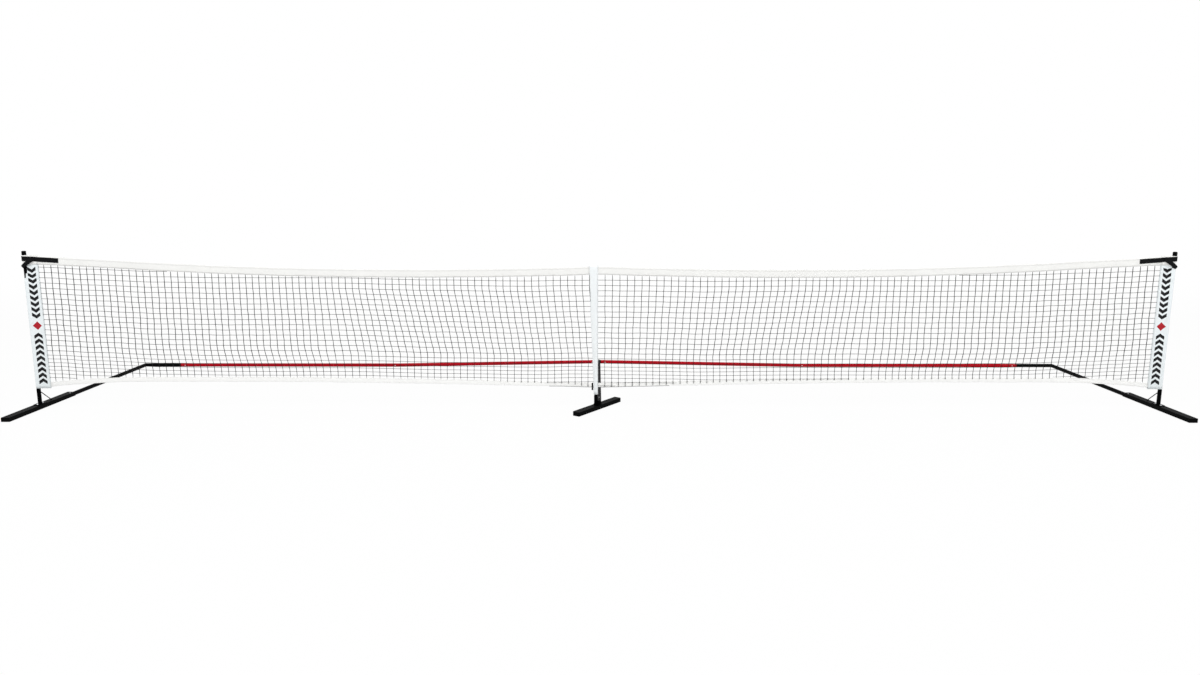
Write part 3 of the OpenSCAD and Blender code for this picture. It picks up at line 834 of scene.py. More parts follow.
@dataclass
class HalfPart:
    """A part of one half of the net.

    Attributes:
        layout: Places and curves of the net.
        side: Which half this is.
    """

    layout: Layout
    side: Side

    def named(self, word: str) -> str:
        """A name that starts with the part's side."""
        return f"{self.side.label}_{word}"

    def at(self, x: float) -> float:
        """The place of a distance from the middle."""
        return self.side.value * x


@dataclass(frozen=True)
class NetShape:
    """How one half of the cord net hangs. Each station starts with its share of the half span.

    Attributes:
        pitch: Distance between two level cords above the seam.
        seam: Stations of the level cord at which the square meshes end and the slack ones start.
        hang: Stations of how far the uprights hang in front of the bottom band.
        lean: Stations of how far the uprights are drawn to the centre: by a straight slant, and in
            all at the lower edge.
    """

    pitch: float
    seam: Stations
    hang: Stations
    lean: Stations


NET_SHAPES = {
    Side.LEFT: NetShape(
        pitch=0.0311,
        seam=((0.0, 0.309), (0.05, 0.308), (0.13, 0.304), (0.29, 0.310), (0.47, 0.322), (0.65, 0.322),
              (0.77, 0.327), (0.90, 0.341), (0.96, 0.351), (1.0, 0.356)),
        hang=((0.0, 0.027), (0.02, 0.026), (0.075, 0.010), (0.14, 0.009), (0.25, 0.0), (1.0, 0.0)),
        lean=((0.0, 0.030, 0.028), (0.08, 0.048, 0.046), (0.17, 0.062, 0.059), (0.26, 0.072, 0.067),
              (0.34, 0.077, 0.073), (0.43, 0.060, 0.062), (0.52, 0.014, 0.038), (0.61, 0.004, 0.030),
              (0.69, 0.001, 0.017), (0.78, 0.0, 0.011), (1.0, 0.0, 0.0)),
    ),
    Side.RIGHT: NetShape(
        pitch=0.0314,
        seam=((0.0, 0.305), (0.07, 0.303), (0.19, 0.298), (0.37, 0.303), (0.55, 0.303), (0.72, 0.305),
              (0.87, 0.319), (0.92, 0.325), (0.96, 0.331), (1.0, 0.335)),
        hang=((0.0, 0.028), (0.04, 0.027), (0.10, 0.021), (0.19, 0.015), (0.26, 0.010), (0.40, 0.010),
              (0.53, 0.008), (0.74, 0.007), (0.84, 0.0), (1.0, 0.0)),
        lean=((0.0, 0.0, 0.0), (0.06, 0.014, 0.010), (0.15, 0.031, 0.025), (0.25, 0.050, 0.043),
              (0.34, 0.057, 0.053), (0.43, 0.047, 0.049), (0.52, 0.008, 0.021), (0.61, 0.004, 0.023),
              (0.70, 0.002, 0.020), (0.79, 0.0, 0.0135), (0.88, 0.0, 0.008), (1.0, 0.0, 0.0)),
    ),
}


@dataclass
class CordNet(HalfPart):
    """One half of the square-mesh cord net.

    Attributes:
        columns: Meshes along the half.
        rows_up: Level cords above the seam.
        rows_down: Level cords below it.
        first_slack: Height of the first slack mesh.
        slack: Height of the other slack meshes.
        slack_thin: How much thinner the cords look where they are slack.
        over_band: How much thinner a level cord looks over the bottom band.
        firm: How much thicker the uprights are beside the sleeve.
        step: Distance between two points of an upright.
        upright: Radius of an upright cord.
        level: Radius of a level cord.
        knot: Radius of a crossing.
        tuck: How far the cords run into the cloth around them.
        billow: How far the net waves out of its plane.
        ripple: How far an upright wavers aside.
        dip: How far a level cord wavers up and down.
        hang_front: How far in front of the net's plane it hangs over the bottom band.
        wide_ends: How much wider the meshes at both ends are, as shares of the half: by a wave,
            and by a curve that starts at the sleeve.
        straight_pull: Shares of the way down at which the straight slant starts, and its length.
        low_pull: The same for the pull at the lower edge.
    """

    columns: int = 80
    rows_up: int = 17
    rows_down: int = 8
    first_slack: float = 0.0275
    slack: float = 0.0228
    slack_thin: float = 0.84
    over_band: float = 0.5
    firm: float = 0.14
    step: float = 0.0165
    upright: float = 0.0019
    level: float = 0.0015
    knot: float = 0.0036
    tuck: float = 0.006
    billow: float = 0.003
    ripple: float = 0.0022
    dip: float = 0.0012
    hang_front: float = 0.0044
    wide_ends: Pair = (0.00557, 0.0075)
    straight_pull: Pair = (0.11, 0.65)
    low_pull: Pair = (0.68, 0.28)

    @property
    def shape(self) -> NetShape:
        """How this half hangs."""
        return NET_SHAPES[self.side]

    @property
    def rows(self) -> range:
        """Numbers of the level cords: row 0 is the seam, and rows below it are negative."""
        return range(-self.rows_down, self.rows_up + 1)

    def column_x(self, u: float) -> float:
        """Places a column, with the widest meshes at both ends.

        Args:
            u: The column's share of the way from the sleeve to the end band.

        Returns:
            Its distance from the middle.
        """
        lay = self.layout
        inner = lay.inner_edge(self.side, lay.centre_height - lay.tape_height) - self.tuck / 3
        outer = lay.half_span - lay.band_reach + self.tuck + 0.004
        wave, start = self.wide_ends
        share = (1 - start) * u + wave * math.sin(math.tau * u) + start * (1 - (1 - u) ** 4)
        return between(inner, outer, share)

    def hang(self, x: float) -> float:
        """How far the net hangs in front of the bottom band at x."""
        return along_stations(self.shape.hang, self.layout.share(x))[0]

    def band_top(self, x: float) -> float:
        """Height of the bottom band's upper edge."""
        return self.layout.bottom(x) + self.layout.band_height

    def low(self, x: float) -> float:
        """Height of the net's lower end."""
        return self.band_top(x) - self.hang(x)

    def hem(self, x: float) -> float:
        """Height of the top tape's lower edge."""
        return self.layout.top(x) - self.layout.tape_height

    def row_height(self, row: int, x: float) -> float:
        """Height of a level cord at x."""
        seam = along_stations(self.shape.seam, self.layout.share(x))[0]
        if row >= 0:
            return seam + row * self.shape.pitch
        return seam - self.first_slack + (row + 1) * self.slack

    def row_shows(self, row: int, x: float) -> bool:
        """Whether a level cord is free of the tape and the band at x."""
        return self.low(x) + self.tuck < self.row_height(row, x) < self.hem(x) - self.level

    def drawn(self, x: float, down: float) -> float:
        """Tells how far a point is drawn to the centre.

        Args:
            x: Distance from the middle at the top tape.
            down: Share of the way down.

        Returns:
            The distance.
        """
        slant, total = along_stations(self.shape.lean, self.layout.share(x))
        straight = min(1.0, max(0.0, (down - self.straight_pull[0]) / self.straight_pull[1]))
        return slant * straight + (total - slant) * smooth((down - self.low_pull[0]) / self.low_pull[1])

    def place(self, x: float, z: float) -> Vector:
        """A point of the net, before it is turned to its side.

        Args:
            x: Distance from the middle at the top tape, before the point is drawn aside.
            z: Height before the cords' own waver.

        Returns:
            The point.
        """
        lay, low = self.layout, self.low(x)
        up = min(1.0, max(0.0, (z - low) / (self.hem(x) - low)))
        calm = math.sin(math.pi * up)
        in_front = smooth(self.hang(x) / 0.004) * smooth((self.band_top(x) + 0.012 - z) / 0.008)
        return Vector((
            x - self.drawn(x, 1 - up) + self.ripple * wander(up, 80.0 * x + self.side.value, 0.27) * calm,
            between(lay.band_sway(self.side, x), 1.3 * lay.tape_sway(self.side, x), up)
            + self.billow * wander(x + 0.6 * up, self.side.value, 0.9) * calm - self.hang_front * in_front,
            z + self.dip * wander(x, 9.0 * up, 0.23) * calm,
        ))

    def beyond_sleeve(self, point: Vector) -> float:
        """How far a point lies outside the sleeve's edge."""
        return point.x - self.layout.inner_edge(self.side, point.z) + self.tuck / 3

    def outside_sleeve(self, line: list[Vector]) -> list[Vector]:
        """Cuts a cord at the centre sleeve.

        Args:
            line: The cord's centre line.

        Returns:
            The part that the sleeve leaves free.
        """
        kept = [line[0]] if self.beyond_sleeve(line[0]) >= 0 else []
        for first, second in zip(line, line[1:]):
            start, end = self.beyond_sleeve(first), self.beyond_sleeve(second)
            if start < 0 <= end or end < 0 <= start:
                kept.append(first.lerp(second, start / (start - end)))
            if end >= 0:
                kept.append(second)
        return kept

    def thickness(self, point: Vector) -> float:
        """How thick an upright is at a point, as a share of its usual radius."""
        taut = smooth((point.z - self.row_height(0, abs(point.x))) / 0.03 + 0.5)
        beside = smooth((0.50 - self.layout.share(point.x)) / 0.25)
        return between(self.slack_thin, 1.0 + self.firm * beside, taut)

    def tucked(self, line: list[Vector], hangs: bool) -> tuple[list[Vector], list[float]]:
        """An upright with thinned ends that run into the cloth above and below.

        Args:
            line: The upright's centre line, from below.
            hangs: Whether its lower end hangs free in front of the bottom band.

        Returns:
            The longer line and the radius at each of its points.
        """
        reach = Vector((0, 0, self.tuck))
        thin = 0.3 * self.upright
        radii = [
            self.upright * self.thickness(point) * (1 + 0.12 * wander(i, line[0].x * 40, 7.0))
            for i, point in enumerate(line)
        ]
        radii[-1] = 0.7 * self.upright
        line, radii = [*line, line[-1] + reach], [*radii, thin]
        if not hangs:
            radii[0] = 0.5 * self.upright
            line, radii = [line[0] - reach, *line], [thin, *radii]
        return line, radii

    def uprights(self) -> list[tuple[list[Vector], list[float]]]:
        """Centre lines and radii of the upright cords."""
        made = []
        for u in spread(0, 1, self.columns + 1):
            x = self.column_x(u)
            low, high = self.low(x), self.hem(x)
            heights = spread(low, high, round((high - low) / self.step))
            line = self.outside_sleeve([self.place(x, z) for z in heights])
            if len(line) > 2:
                made.append(self.tucked(line, self.hang(x) > 0.002))
        return made

    def level_radius(self, row: int, point: Vector) -> float:
        """Radius of a level cord at a point: it is thinner where slack, and over the band."""
        over = smooth((self.band_top(point.x) + 0.010 - point.z) / 0.006)
        thick = self.level * (self.slack_thin if row < 0 else 1.0) * between(1.0, self.over_band, over)
        return thick * (1 + 0.15 * wander(point.x, 3 * row, 0.05))

    def levels(self) -> list[tuple[list[Vector], list[float]]]:
        """Centre lines and radii of the level cords, each cut where the tape or the band hides it."""
        made = []
        stations = [self.column_x(u) for u in spread(0, 1, 2 * self.columns + 1)]
        for row in self.rows:
            run: list[Vector] = []
            for x in stations:
                if self.row_shows(row, x):
                    run.append(self.place(x, self.row_height(row, x)))
                    if x != stations[-1]:
                        continue
                line = self.outside_sleeve(run) if len(run) > 3 else []
                if len(line) > 2:
                    made.append((line, [self.level_radius(row, point) for point in line]))
                run = []
        return made

    def build(self) -> Piece:
        """Weaves the cords and their crossings into one piece."""
        weave = Weave()
        for line, radii in self.uprights() + self.levels():
            weave.cord(line, radii, 4)
        for x in [self.column_x(u) for u in spread(0, 1, self.columns + 1)[1:-1]]:
            for row in self.rows:
                centre = self.place(x, self.row_height(row, x))
                if self.row_shows(row, x) and self.beyond_sleeve(centre) >= 0:
                    weave.knot(centre, self.knot)
        if self.side is Side.LEFT:
            weave.mirror()
        return new_piece(self.named("cord_net"), weave.points, weave.faces)


# ---------------------------------------------------------------- cloth


@dataclass
class EdgeStrip(HalfPart):
    """A strip of cloth folded over one edge of the net."""

    cloth: float = 0.0008
    station: float = 0.022

    def stations(self, start: float, end: float) -> list[float]:
        """Places of the strip's sections."""
        return spread(start, end, round((end - start) / self.station))


@dataclass
class TopTape(EdgeStrip):
    """The tape of one half: one strip of cloth folded over a headline cord.

    Attributes:
        headline: Radius of the cord in the fold.
        loose: Room between the headline and the cloth.
        fold_drop: Depth of the headline's middle below the top edge.
        flare: How far the front and back hems stand out at most.
        ripple: How far the top edge wavers up and down.
        face: Depths below the top edge and distances from the net's plane, from the hem up.
        turn: Angles of the fold round the headline, in degrees.
    """

    headline: float = 0.0030
    loose: float = 0.0006
    fold_drop: float = 0.0042
    flare: float = 0.0006
    ripple: float = 0.0007
    face: Stations = ((0.048, 0.0017), (0.038, 0.0021), (0.027, 0.0024), (0.018, 0.0023), (0.0115, 0.0019))
    turn: tuple[float, ...] = (-28, 0, 28, 58)

    def ends(self) -> Pair:
        """Where the tape starts and stops along the net."""
        lay = self.layout
        return lay.inner_edge(self.side, lay.centre_height) - 0.004, lay.half_span - lay.post_radius - 0.0035

    def section(self, x: float) -> list[Point]:
        """Finds the tape's section, from the front hem over the top to the back hem.

        Args:
            x: Distance from the middle.

        Returns:
            The section's points.
        """
        lay = self.layout
        sway = lay.tape_sway(self.side, x)
        top = lay.top(x) + self.ripple * wander(x, 8.0, 0.4)
        hem, *face = self.face
        around = [math.radians(angle) for angle in self.turn]
        fold = [
            (self.fold_drop - (self.headline + self.loose) * math.sin(a),
             self.headline * math.cos(a) + self.loose)
            for a in around
        ]
        half = [(hem[0], hem[1] + self.flare * wander(x, 5.0, 0.13)), *face, *fold]
        return [
            (self.at(x), deep + sway * (0.3 + down / lay.tape_height), top - down)
            for down, deep in both_faces(half, [(self.loose, 0.0)])
        ]

    def build(self) -> Piece:
        """Folds the strip along the tape's curve."""
        rows = [self.section(x) for x in self.stations(*self.ends())]
        return cloth_sheet(self.named("tape"), rows, self.cloth)

    def cut(self) -> Pair:
        """Size of the strip before it is folded."""
        return self.layout.half_span - self.layout.post_radius, 2 * self.layout.tape_height + 0.006


@dataclass
class BottomBand(EdgeStrip):
    """The narrow band on the net's lower edge, with a bare grey edge cord beside the sleeve.

    Attributes:
        cord: Radius of the edge cord.
        ripple: How far the edge wavers up and down.
        blend: Distance over which the fold closes on the cord.
        fold: Height of the band's lower fold above the edge where the cord is bare and where not.
        face: Heights above the edge and distances from the net's plane, from the hem down.
        bare: How far from the middle the edge cord is bare, on the left and on the right.
    """

    cloth: float = 0.0007
    station: float = 0.025
    cord: float = 0.0017
    ripple: float = 0.0008
    blend: float = 0.05
    fold: Pair = (0.0024, 0.0004)
    face: Stations = ((0.028, 0.0014), (0.020, 0.0017), (0.012, 0.0019), (0.0055, 0.0018))
    bare: Pair = (0.30, 0.42)

    @property
    def bare_end(self) -> float:
        """Where the bare cord ends on this side."""
        return self.bare[self.side is Side.RIGHT]

    def ends(self) -> Pair:
        """Where the band starts and stops along the net."""
        lay = self.layout
        return lay.inner_edge(self.side, lay.bottom(0.0)) - 0.002, lay.half_span - lay.band_reach + 0.004

    def edge(self, x: float) -> float:
        """Height of the band's wavering lower edge."""
        return self.layout.bottom(x) + self.ripple * wander(x, 6.0, 0.3)

    def section(self, x: float) -> list[Point]:
        """Finds the band's section, from the front hem round the lower fold to the back hem.

        Args:
            x: Distance from the middle.

        Returns:
            The section's points.
        """
        fold = between(*self.fold, smooth((x - self.bare_end) / self.blend))
        half = [*self.face, (fold + 0.0008, 0.0012), (fold, 0.0006)]
        sway = self.layout.band_sway(self.side, x)
        return [(self.at(x), deep + sway, self.edge(x) + up) for up, deep in both_faces(half)]

    def build(self) -> Piece:
        """Folds the band along the net's lower edge."""
        rows = [self.section(x) for x in self.stations(*self.ends())]
        return cloth_sheet(self.named("lower_band"), rows, self.cloth)

    def build_cord(self) -> Piece:
        """Makes the grey cord that edges the band beside the sleeve."""
        line = [
            Vector((self.at(x), self.layout.band_sway(self.side, x), self.edge(x) + self.cord * 0.9))
            for x in self.stations(self.ends()[0], self.bare_end)
        ]
        weave = Weave()
        weave.cord(line, [self.cord] * len(line), 8)
        return new_piece(self.named("piping"), weave.points, weave.faces)

    def cut(self) -> Pair:
        """Size of the band before it is folded."""
        start, end = self.ends()
        return end - start, 2 * self.layout.band_height


@dataclass
class PostCloth(HalfPart):
    """Cloth round an end post, which closes into two layers over the net.

    Attributes:
        reach: How far the layers run from the post's axis towards the net.
        layer: Distance of each layer from the net's plane.
        cloth: Thickness of the cloth.
        gap: Room between the post and the cloth.
        pinch: Where the layers have closed, in radii of the cloth's ring.
    """

    reach: float
    layer: float
    cloth: float = 0.0008
    gap: float = 0.0011
    pinch: float = 3.0

    @property
    def ring(self) -> float:
        """Radius of the cloth round the post."""
        return self.layout.post_radius + self.gap

    def depth(self, s: float) -> float:
        """Distance of a layer from the net's plane at a distance s outside the post's axis."""
        if s > 0:
            return math.sqrt(max(0.0, self.ring**2 - s * s))
        pinch = self.pinch * self.ring
        return between(self.layer, self.ring, smooth((pinch + s) / pinch))


@dataclass(kw_only=True)
class PostWrap(PostCloth):
    """Cloth that wraps an end post.

    Attributes:
        word: Name of the piece, without its side.
        low: Height of the lower edge.
        high: Height of the upper edge.
        creases: Depth of the cloth's soft creases.
        calm: Distance from the edges within which the creases fade.
        row_step: Distance between two rows of points.
        far_low: Height of the lower edge where it has left the post, if it slants.
        slant: Distance from the post over which the lower edge slants.
    """

    word: str
    low: float
    high: float
    creases: float = 0.0008
    calm: float = 0.02
    row_step: float = 0.018
    far_low: float | None = None
    slant: float = 0.030

    def lower_edge(self, s: float) -> float:
        """Height of the lower edge at a distance s outside the post's axis."""
        far_low = self.low if self.far_low is None else self.far_low
        return between(self.low, far_low, smooth(-s / self.slant))

    def outline(self) -> list[Pair]:
        """The wrap seen from above: distance outside the post's axis, and depth."""
        pinch = self.pinch * self.ring
        runs = spread(self.reach, pinch, 7) + spread(pinch, 0, 7)[1:-1]
        return both_faces([(-s, self.depth(-s)) for s in runs], arc(self.ring, 0, math.pi, 13))

    def point(self, s: float, deep: float, share: float) -> Point:
        """A point of the creased cloth.

        Args:
            s: Distance outside the post's axis.
            deep: Depth in the outline.
            share: Share of the way from the lower to the upper edge.

        Returns:
            The point.
        """
        z = between(self.lower_edge(s), self.high, share)
        ease = smooth(min(z - self.low, self.high - z) / self.calm)
        crease = self.creases * (0.35 + 0.65 * ease) * wander(z + 0.8 * s, self.layer * 3e3, 0.11)
        grow = crease if s < -0.012 else abs(crease) * 0.5
        x = self.layout.half_span + s + (grow if s > 0 else 0.0)
        return self.at(x), deep + math.copysign(grow, deep), z

    def build(self) -> Piece:
        """Wraps the cloth round its post."""
        outline = self.outline()
        shares = spread(0, 1, max(5, round((self.high - self.low) / self.row_step)))
        rows = [[self.point(s, deep, share) for s, deep in outline] for share in shares]
        return cloth_sheet(self.named(self.word), rows, self.cloth)

    def cut(self) -> Pair:
        """Size of the cloth before it is wrapped."""
        return 2 * self.reach + math.pi * self.ring, self.high - self.low


@dataclass(kw_only=True)
class BandGusset(PostCloth):
    """The end band above its wrap: two layers that hug the post and then draw back from it.

    Attributes:
        edge: Heights, and how far outside the post's axis the layers reach there.
    """

    edge: Stations

    def rows(self, face: int) -> list[list[Point]]:
        """Rows of one layer, in front of the net at face -1 and behind it at 1."""
        return [
            [
                (self.at(self.layout.half_span + s),
                 face * (self.depth(s) + 0.0005 * wander(s + z, 2.0 + face, 0.06)), z)
                for s in spread(-self.reach, outer, 14)
            ]
            for z, outer in self.edge
        ]

    def build(self) -> list[Piece]:
        """Makes the front and the back layer."""
        return [
            cloth_sheet(self.named(f"band_top_{word}"), self.rows(face), self.cloth)
            for word, face in (("front", -1), ("back", 1))
        ]

    def cut(self) -> Pair:
        """Size of one layer, at its mean width."""
        mean = sum(outer for _, outer in self.edge) / len(self.edge)
        return self.reach + mean, self.edge[-1][0] - self.edge[0][0]


@dataclass
class CentreSleeve:
    """White sleeve on the centre post: straight on the right, slanting out to the tape on the left.

    Attributes:
        layout: Places and curves of the net.
        tip: Half thickness of the folded edges.
        gap: Room between the post and the cloth.
        cloth: Thickness of the cloth.
        waver: How far the sleeve wavers sideways.
        puff: How far its wings wave out of the net's plane.
        rings: Outlines from the foot up to where the sleeve is pressed flat.
        closing: Distances below the top, and how flat the sleeve is pressed there.
    """

    layout: Layout
    tip: float = 0.0016
    gap: float = 0.0012
    cloth: float = 0.0008
    waver: float = 0.0004
    puff: float = 0.0008
    rings: int = 44
    closing: Stations = ((0.003, 0.35), (0.001, 0.7), (0.0004, 0.93))

    @property
    def round(self) -> float:
        """Radius of the cloth round the post."""
        return self.layout.post_radius + self.gap

    def wing(self, half: float) -> tuple[list[Pair], float]:
        """The flat part of one side, from its folded edge to where it meets the post.

        Args:
            half: Distance from the post's axis to the folded edge.

        Returns:
            Points as distance and depth, and the angle at which the cloth meets the post.
        """
        far = math.hypot(half, self.tip)
        tilt = math.asin(min(1.0, self.round / far)) - math.atan2(self.tip, half)
        meet = (self.round * math.sin(tilt), self.round * math.cos(tilt))
        flat = [(between(half, meet[0], t), between(self.tip, meet[1], t)) for t in (0, 0.25, 0.5, 0.75)]
        return flat, tilt

    def ring(self, z: float, squeeze: float = 0.0) -> list[Point]:
        """The sleeve's outline at height z, as a loop that hugs the post and closes into wings.

        Args:
            z: Height of the outline.
            squeeze: How flat the loop is pressed, from 0 to 1.

        Returns:
            The loop's points.
        """
        lay = self.layout
        right, right_tilt = self.wing(lay.sleeve_edge - lay.centre_x)
        left, left_tilt = self.wing(lay.centre_x - lay.sleeve_slant(z))
        front = right + arc(self.round, right_tilt, -left_tilt, 9) + [(-x, y) for x, y in reversed(left)]
        middle = lay.centre_x + self.waver * wander(z, 3.0, 0.12)
        row = []
        for x, y in both_faces(front):
            soft = self.puff * smooth((abs(x) - self.round) / 0.012)
            row.append((middle + x, y * (1 - squeeze) + soft * wander(z + 2 * x, 1.0, 0.09), z))
        return row

    def build(self) -> Piece:
        """Makes the sleeve, folded shut over the tape."""
        low, high = self.layout.sleeve_low, self.layout.sleeve_high
        rows = [self.ring(z) for z in spread(low, high - 0.006, self.rings)]
        rows += [self.ring(high - rest, press) for rest, press in self.closing]
        return cloth_sheet("centre_wrap", rows, self.cloth, closed=True)

    def cut(self) -> Pair:
        """Size of the cloth before it is sewn into a sleeve, at its mean width."""
        lay = self.layout
        wide = lay.sleeve_edge - (lay.sleeve_edge - lay.sleeve_foot + lay.sleeve_slant_top) / 2
        return 2 * wide + 0.008, lay.sleeve_high - lay.sleeve_low


# ---------------------------------------------------------------- webbing


@dataclass
class TapeStrap(HalfPart):
    """The upper strap: it loops an end post and lies along both faces of the tape.

    Attributes:
        top: Height of the strap's upper edge at the post.
        reach: How far the strap runs from the post's axis.
        drop: How far its far end lies lower.
        height: Width of the webbing.
        near: Distance from the post's axis within which the strap bends.
        layer: Distance of each leg from the net's plane.
        room: Distance between the post and the strap.
        swell: How far the legs bulge over what lies under them near the post.
        swell_at: Where they bulge, and over which distance.
        thick: Thickness of the webbing.
    """

    top: float
    reach: float
    drop: float
    height: float = 0.0275
    near: float = 0.055
    layer: float = 0.0048
    room: float = 0.0040
    swell: float = 0.0022
    swell_at: Pair = (0.030, 0.014)
    thick: float = 0.0015

    @property
    def ring(self) -> float:
        """Radius of the strap round the post."""
        return self.layout.post_radius + self.room

    def depth(self, s: float) -> float:
        """Distance of a leg from the net's plane at a distance s inside the post's axis."""
        pinch = 2.6 * self.ring
        bulge = self.swell * math.exp(-(((s - self.swell_at[0]) / self.swell_at[1]) ** 2))
        return between(self.layer, self.ring, smooth((pinch - s) / pinch)) + bulge

    def outline(self) -> list[Pair]:
        """The strap seen from above: distance outside the post's axis, and depth."""
        runs = spread(self.reach, self.near, 8)[:-1] + spread(self.near, 0, 14)[:-1]
        return both_faces([(-s, self.depth(s)) for s in runs], arc(self.ring, 0, math.pi, 15))

    def point(self, s: float, deep: float, across: float) -> Point:
        """A point of the strap.

        Args:
            s: Distance outside the post's axis.
            deep: Depth in the outline.
            across: Share of the way down across the webbing.

        Returns:
            The point.
        """
        sink = self.drop * (self.ring - s) / (self.ring + self.reach)
        lift = 0.0006 * wander(s, 3.0, 0.09)
        high = self.top - sink - self.height * across + lift
        return self.at(self.layout.half_span + s), deep + math.copysign(lift, deep) * 0.5, high

    def build(self) -> Piece:
        """Lays the strap, four rows across its width."""
        outline = self.outline()
        rows = [[self.point(s, deep, across) for s, deep in outline] for across in spread(0, 1, 4)]
        return cloth_sheet(self.named("tape_strap"), rows, self.thick)


@dataclass
class TailStrap(HalfPart):
    """The lower strap: it hangs slanted from the upper one, loops its post and rises behind it.

    Attributes:
        hang_from: Height of the upper strap's lower edge at the post.
        thick: Thickness of the webbing.
        stations: Stations of the front leg. Each holds the distance outside the post's axis, the
            distance in front of the net's plane, the height above hang_from, and the half width's
            outward and upward parts. The last one is the nose beside the post.
        steps: Rows between two stations.
    """

    hang_from: float
    thick: float = 0.0015
    stations: Stations = (
        (-0.062, 0.0082, 0.0125, 0.0020, 0.0100), (-0.043, 0.0098, 0.0035, 0.0057, 0.0104),
        (-0.022, 0.0128, -0.0122, 0.0070, 0.0094), (0.0, 0.0136, -0.0285, 0.0062, 0.0080),
        (0.0102, 0.0105, -0.0375, 0.0055, 0.0066), (0.0150, 0.0, -0.0395, 0.0035, 0.0050),
    )
    steps: int = 4

    def path(self) -> Stations:
        """Stations of the whole strap, smoothed, from the front leg's top to the back leg's."""
        back = [(s, -deep, *rest) for s, deep, *rest in reversed(self.stations[:-1])]
        knots = [*self.stations, *back]
        padded = [knots[0], *knots, knots[-1]]
        made = []
        for four in zip(padded, padded[1:], padded[2:], padded[3:]):
            for t in spread(0, 1, self.steps + 1)[:-1]:
                made.append(tuple(
                    0.5 * (2 * q + (r - p) * t + (2 * p - 5 * q + 4 * r - w) * t**2
                           + (3 * q - p - 3 * r + w) * t**3)
                    for p, q, r, w in zip(*four)
                ))
        return (*made, knots[-1])

    def build(self) -> Piece:
        """Lays the strap, five points across its width."""
        rows = [
            [
                (self.at(self.layout.half_span + s + part * outward), -deep,
                 self.hang_from + rise + part * upward)
                for part in spread(-1, 1, 5)
            ]
            for s, deep, rise, outward, upward in self.path()
        ]
        return cloth_sheet(self.named("tail_strap"), rows, self.thick)


@dataclass
class TieTab:
    """Short webbing tab that ties the centre sleeve to the bottom band."""

    low: Vector
    high: Vector
    thick: float = 0.0014
    bow: float = 0.0012
    taper: float = 0.15

    def build(self) -> Piece:
        """Folds the tab over the band's front."""
        middle, front = (self.low.x + self.high.x) / 2, (self.low.y + self.high.y) / 2 - 0.0006
        half = (self.high.x - self.low.x) / 2
        rows = []
        for share in spread(0, 1, 10):
            y = front - self.bow * math.sin(math.pi * share)
            z = between(self.low.z, self.high.z, share)
            rows.append([(middle + half * t * (1 - self.taper * share), y, z) for t in spread(-1, 1, 5)])
        return cloth_sheet("centre_tab", rows, self.thick)


# ---------------------------------------------------------------- steel trim


@dataclass
class WeldBead:
    """A ring of weld metal, uneven as a hand-laid bead is."""

    name: str
    centre: Vector
    ring: float
    bead: float = 0.0016
    ripples: int = 22

    def build(self) -> Piece:
        """Makes the bead from a torus and ripples it."""
        piece = primitive(
            self.name, bpy.ops.mesh.primitive_torus_add, major_radius=self.ring,
            minor_radius=self.bead, major_segments=4 * self.ripples, minor_segments=8,
            location=self.centre,
        )
        for vertex in piece.data.vertices:
            arm = vertex.co - self.centre
            turn = math.atan2(arm.y, arm.x)
            swell = 1 + 0.018 * math.sin(self.ripples * turn) + 0.01 * math.sin(7 * turn + 1)
            vertex.co = self.centre + arm * swell
        bpy.ops.object.shade_smooth()
        return piece


@dataclass
class Washer:
    """A flat washer under a bolt head."""

    name: str
    centre: Vector
    inner: float = 0.0051
    outer: float = 0.0072
    thick: float = 0.0008

    def build(self) -> Piece:
        """Makes the washer from a disc with a hole and rounds its rim."""
        piece = primitive(
            self.name, bpy.ops.mesh.primitive_cylinder_add, vertices=32, radius=self.outer,
            depth=self.thick, end_fill_type="NGON",
            location=self.centre + Vector((0, 0, self.thick / 2)),
        )
        bpy.ops.object.mode_set(mode="EDIT")
        bpy.ops.mesh.select_mode(type="FACE")
        bpy.ops.mesh.select_all(action="DESELECT")
        bpy.ops.object.mode_set(mode="OBJECT")
        for face in piece.data.polygons:
            face.select = abs(face.normal.z) > 0.9
        bpy.ops.object.mode_set(mode="EDIT")
        bpy.ops.mesh.inset(thickness=self.outer - self.inner)
        bpy.ops.mesh.bridge_edge_loops()
        bpy.ops.object.mode_set(mode="OBJECT")
        apply_modifier(piece, "BEVEL", width=self.thick * 0.25, segments=2, limit_method="ANGLE")
        bpy.ops.object.shade_smooth_by_angle(angle=math.radians(35))
        return piece


# ---------------------------------------------------------------- assemblies


WRAP_TOPS = {Side.LEFT: 0.783, Side.RIGHT: 0.846}
"""Height at which each end band's wrap ends and its gusset starts."""

GUSSET_EDGES = {
    Side.LEFT: (
        (0.779, 0.0095), (0.7835, 0.0090), (0.786, 0.0020), (0.789, -0.0040), (0.800, -0.0046),
        (0.812, -0.0054), (0.8145, -0.0125), (0.830, -0.0134), (0.850, -0.0145), (0.874, -0.0160),
    ),
    Side.RIGHT: ((0.842, 0.0095), (0.847, 0.0090), (0.850, -0.0125), (0.860, -0.0150), (0.874, -0.0160)),
}

STRAP_LINES = {Side.LEFT: (0.0015, 0.199, 0.0135), Side.RIGHT: (0.0040, 0.204, 0.0165)}
"""Of each upper strap: its top edge above the tape's end, its reach, and its fall over the reach."""


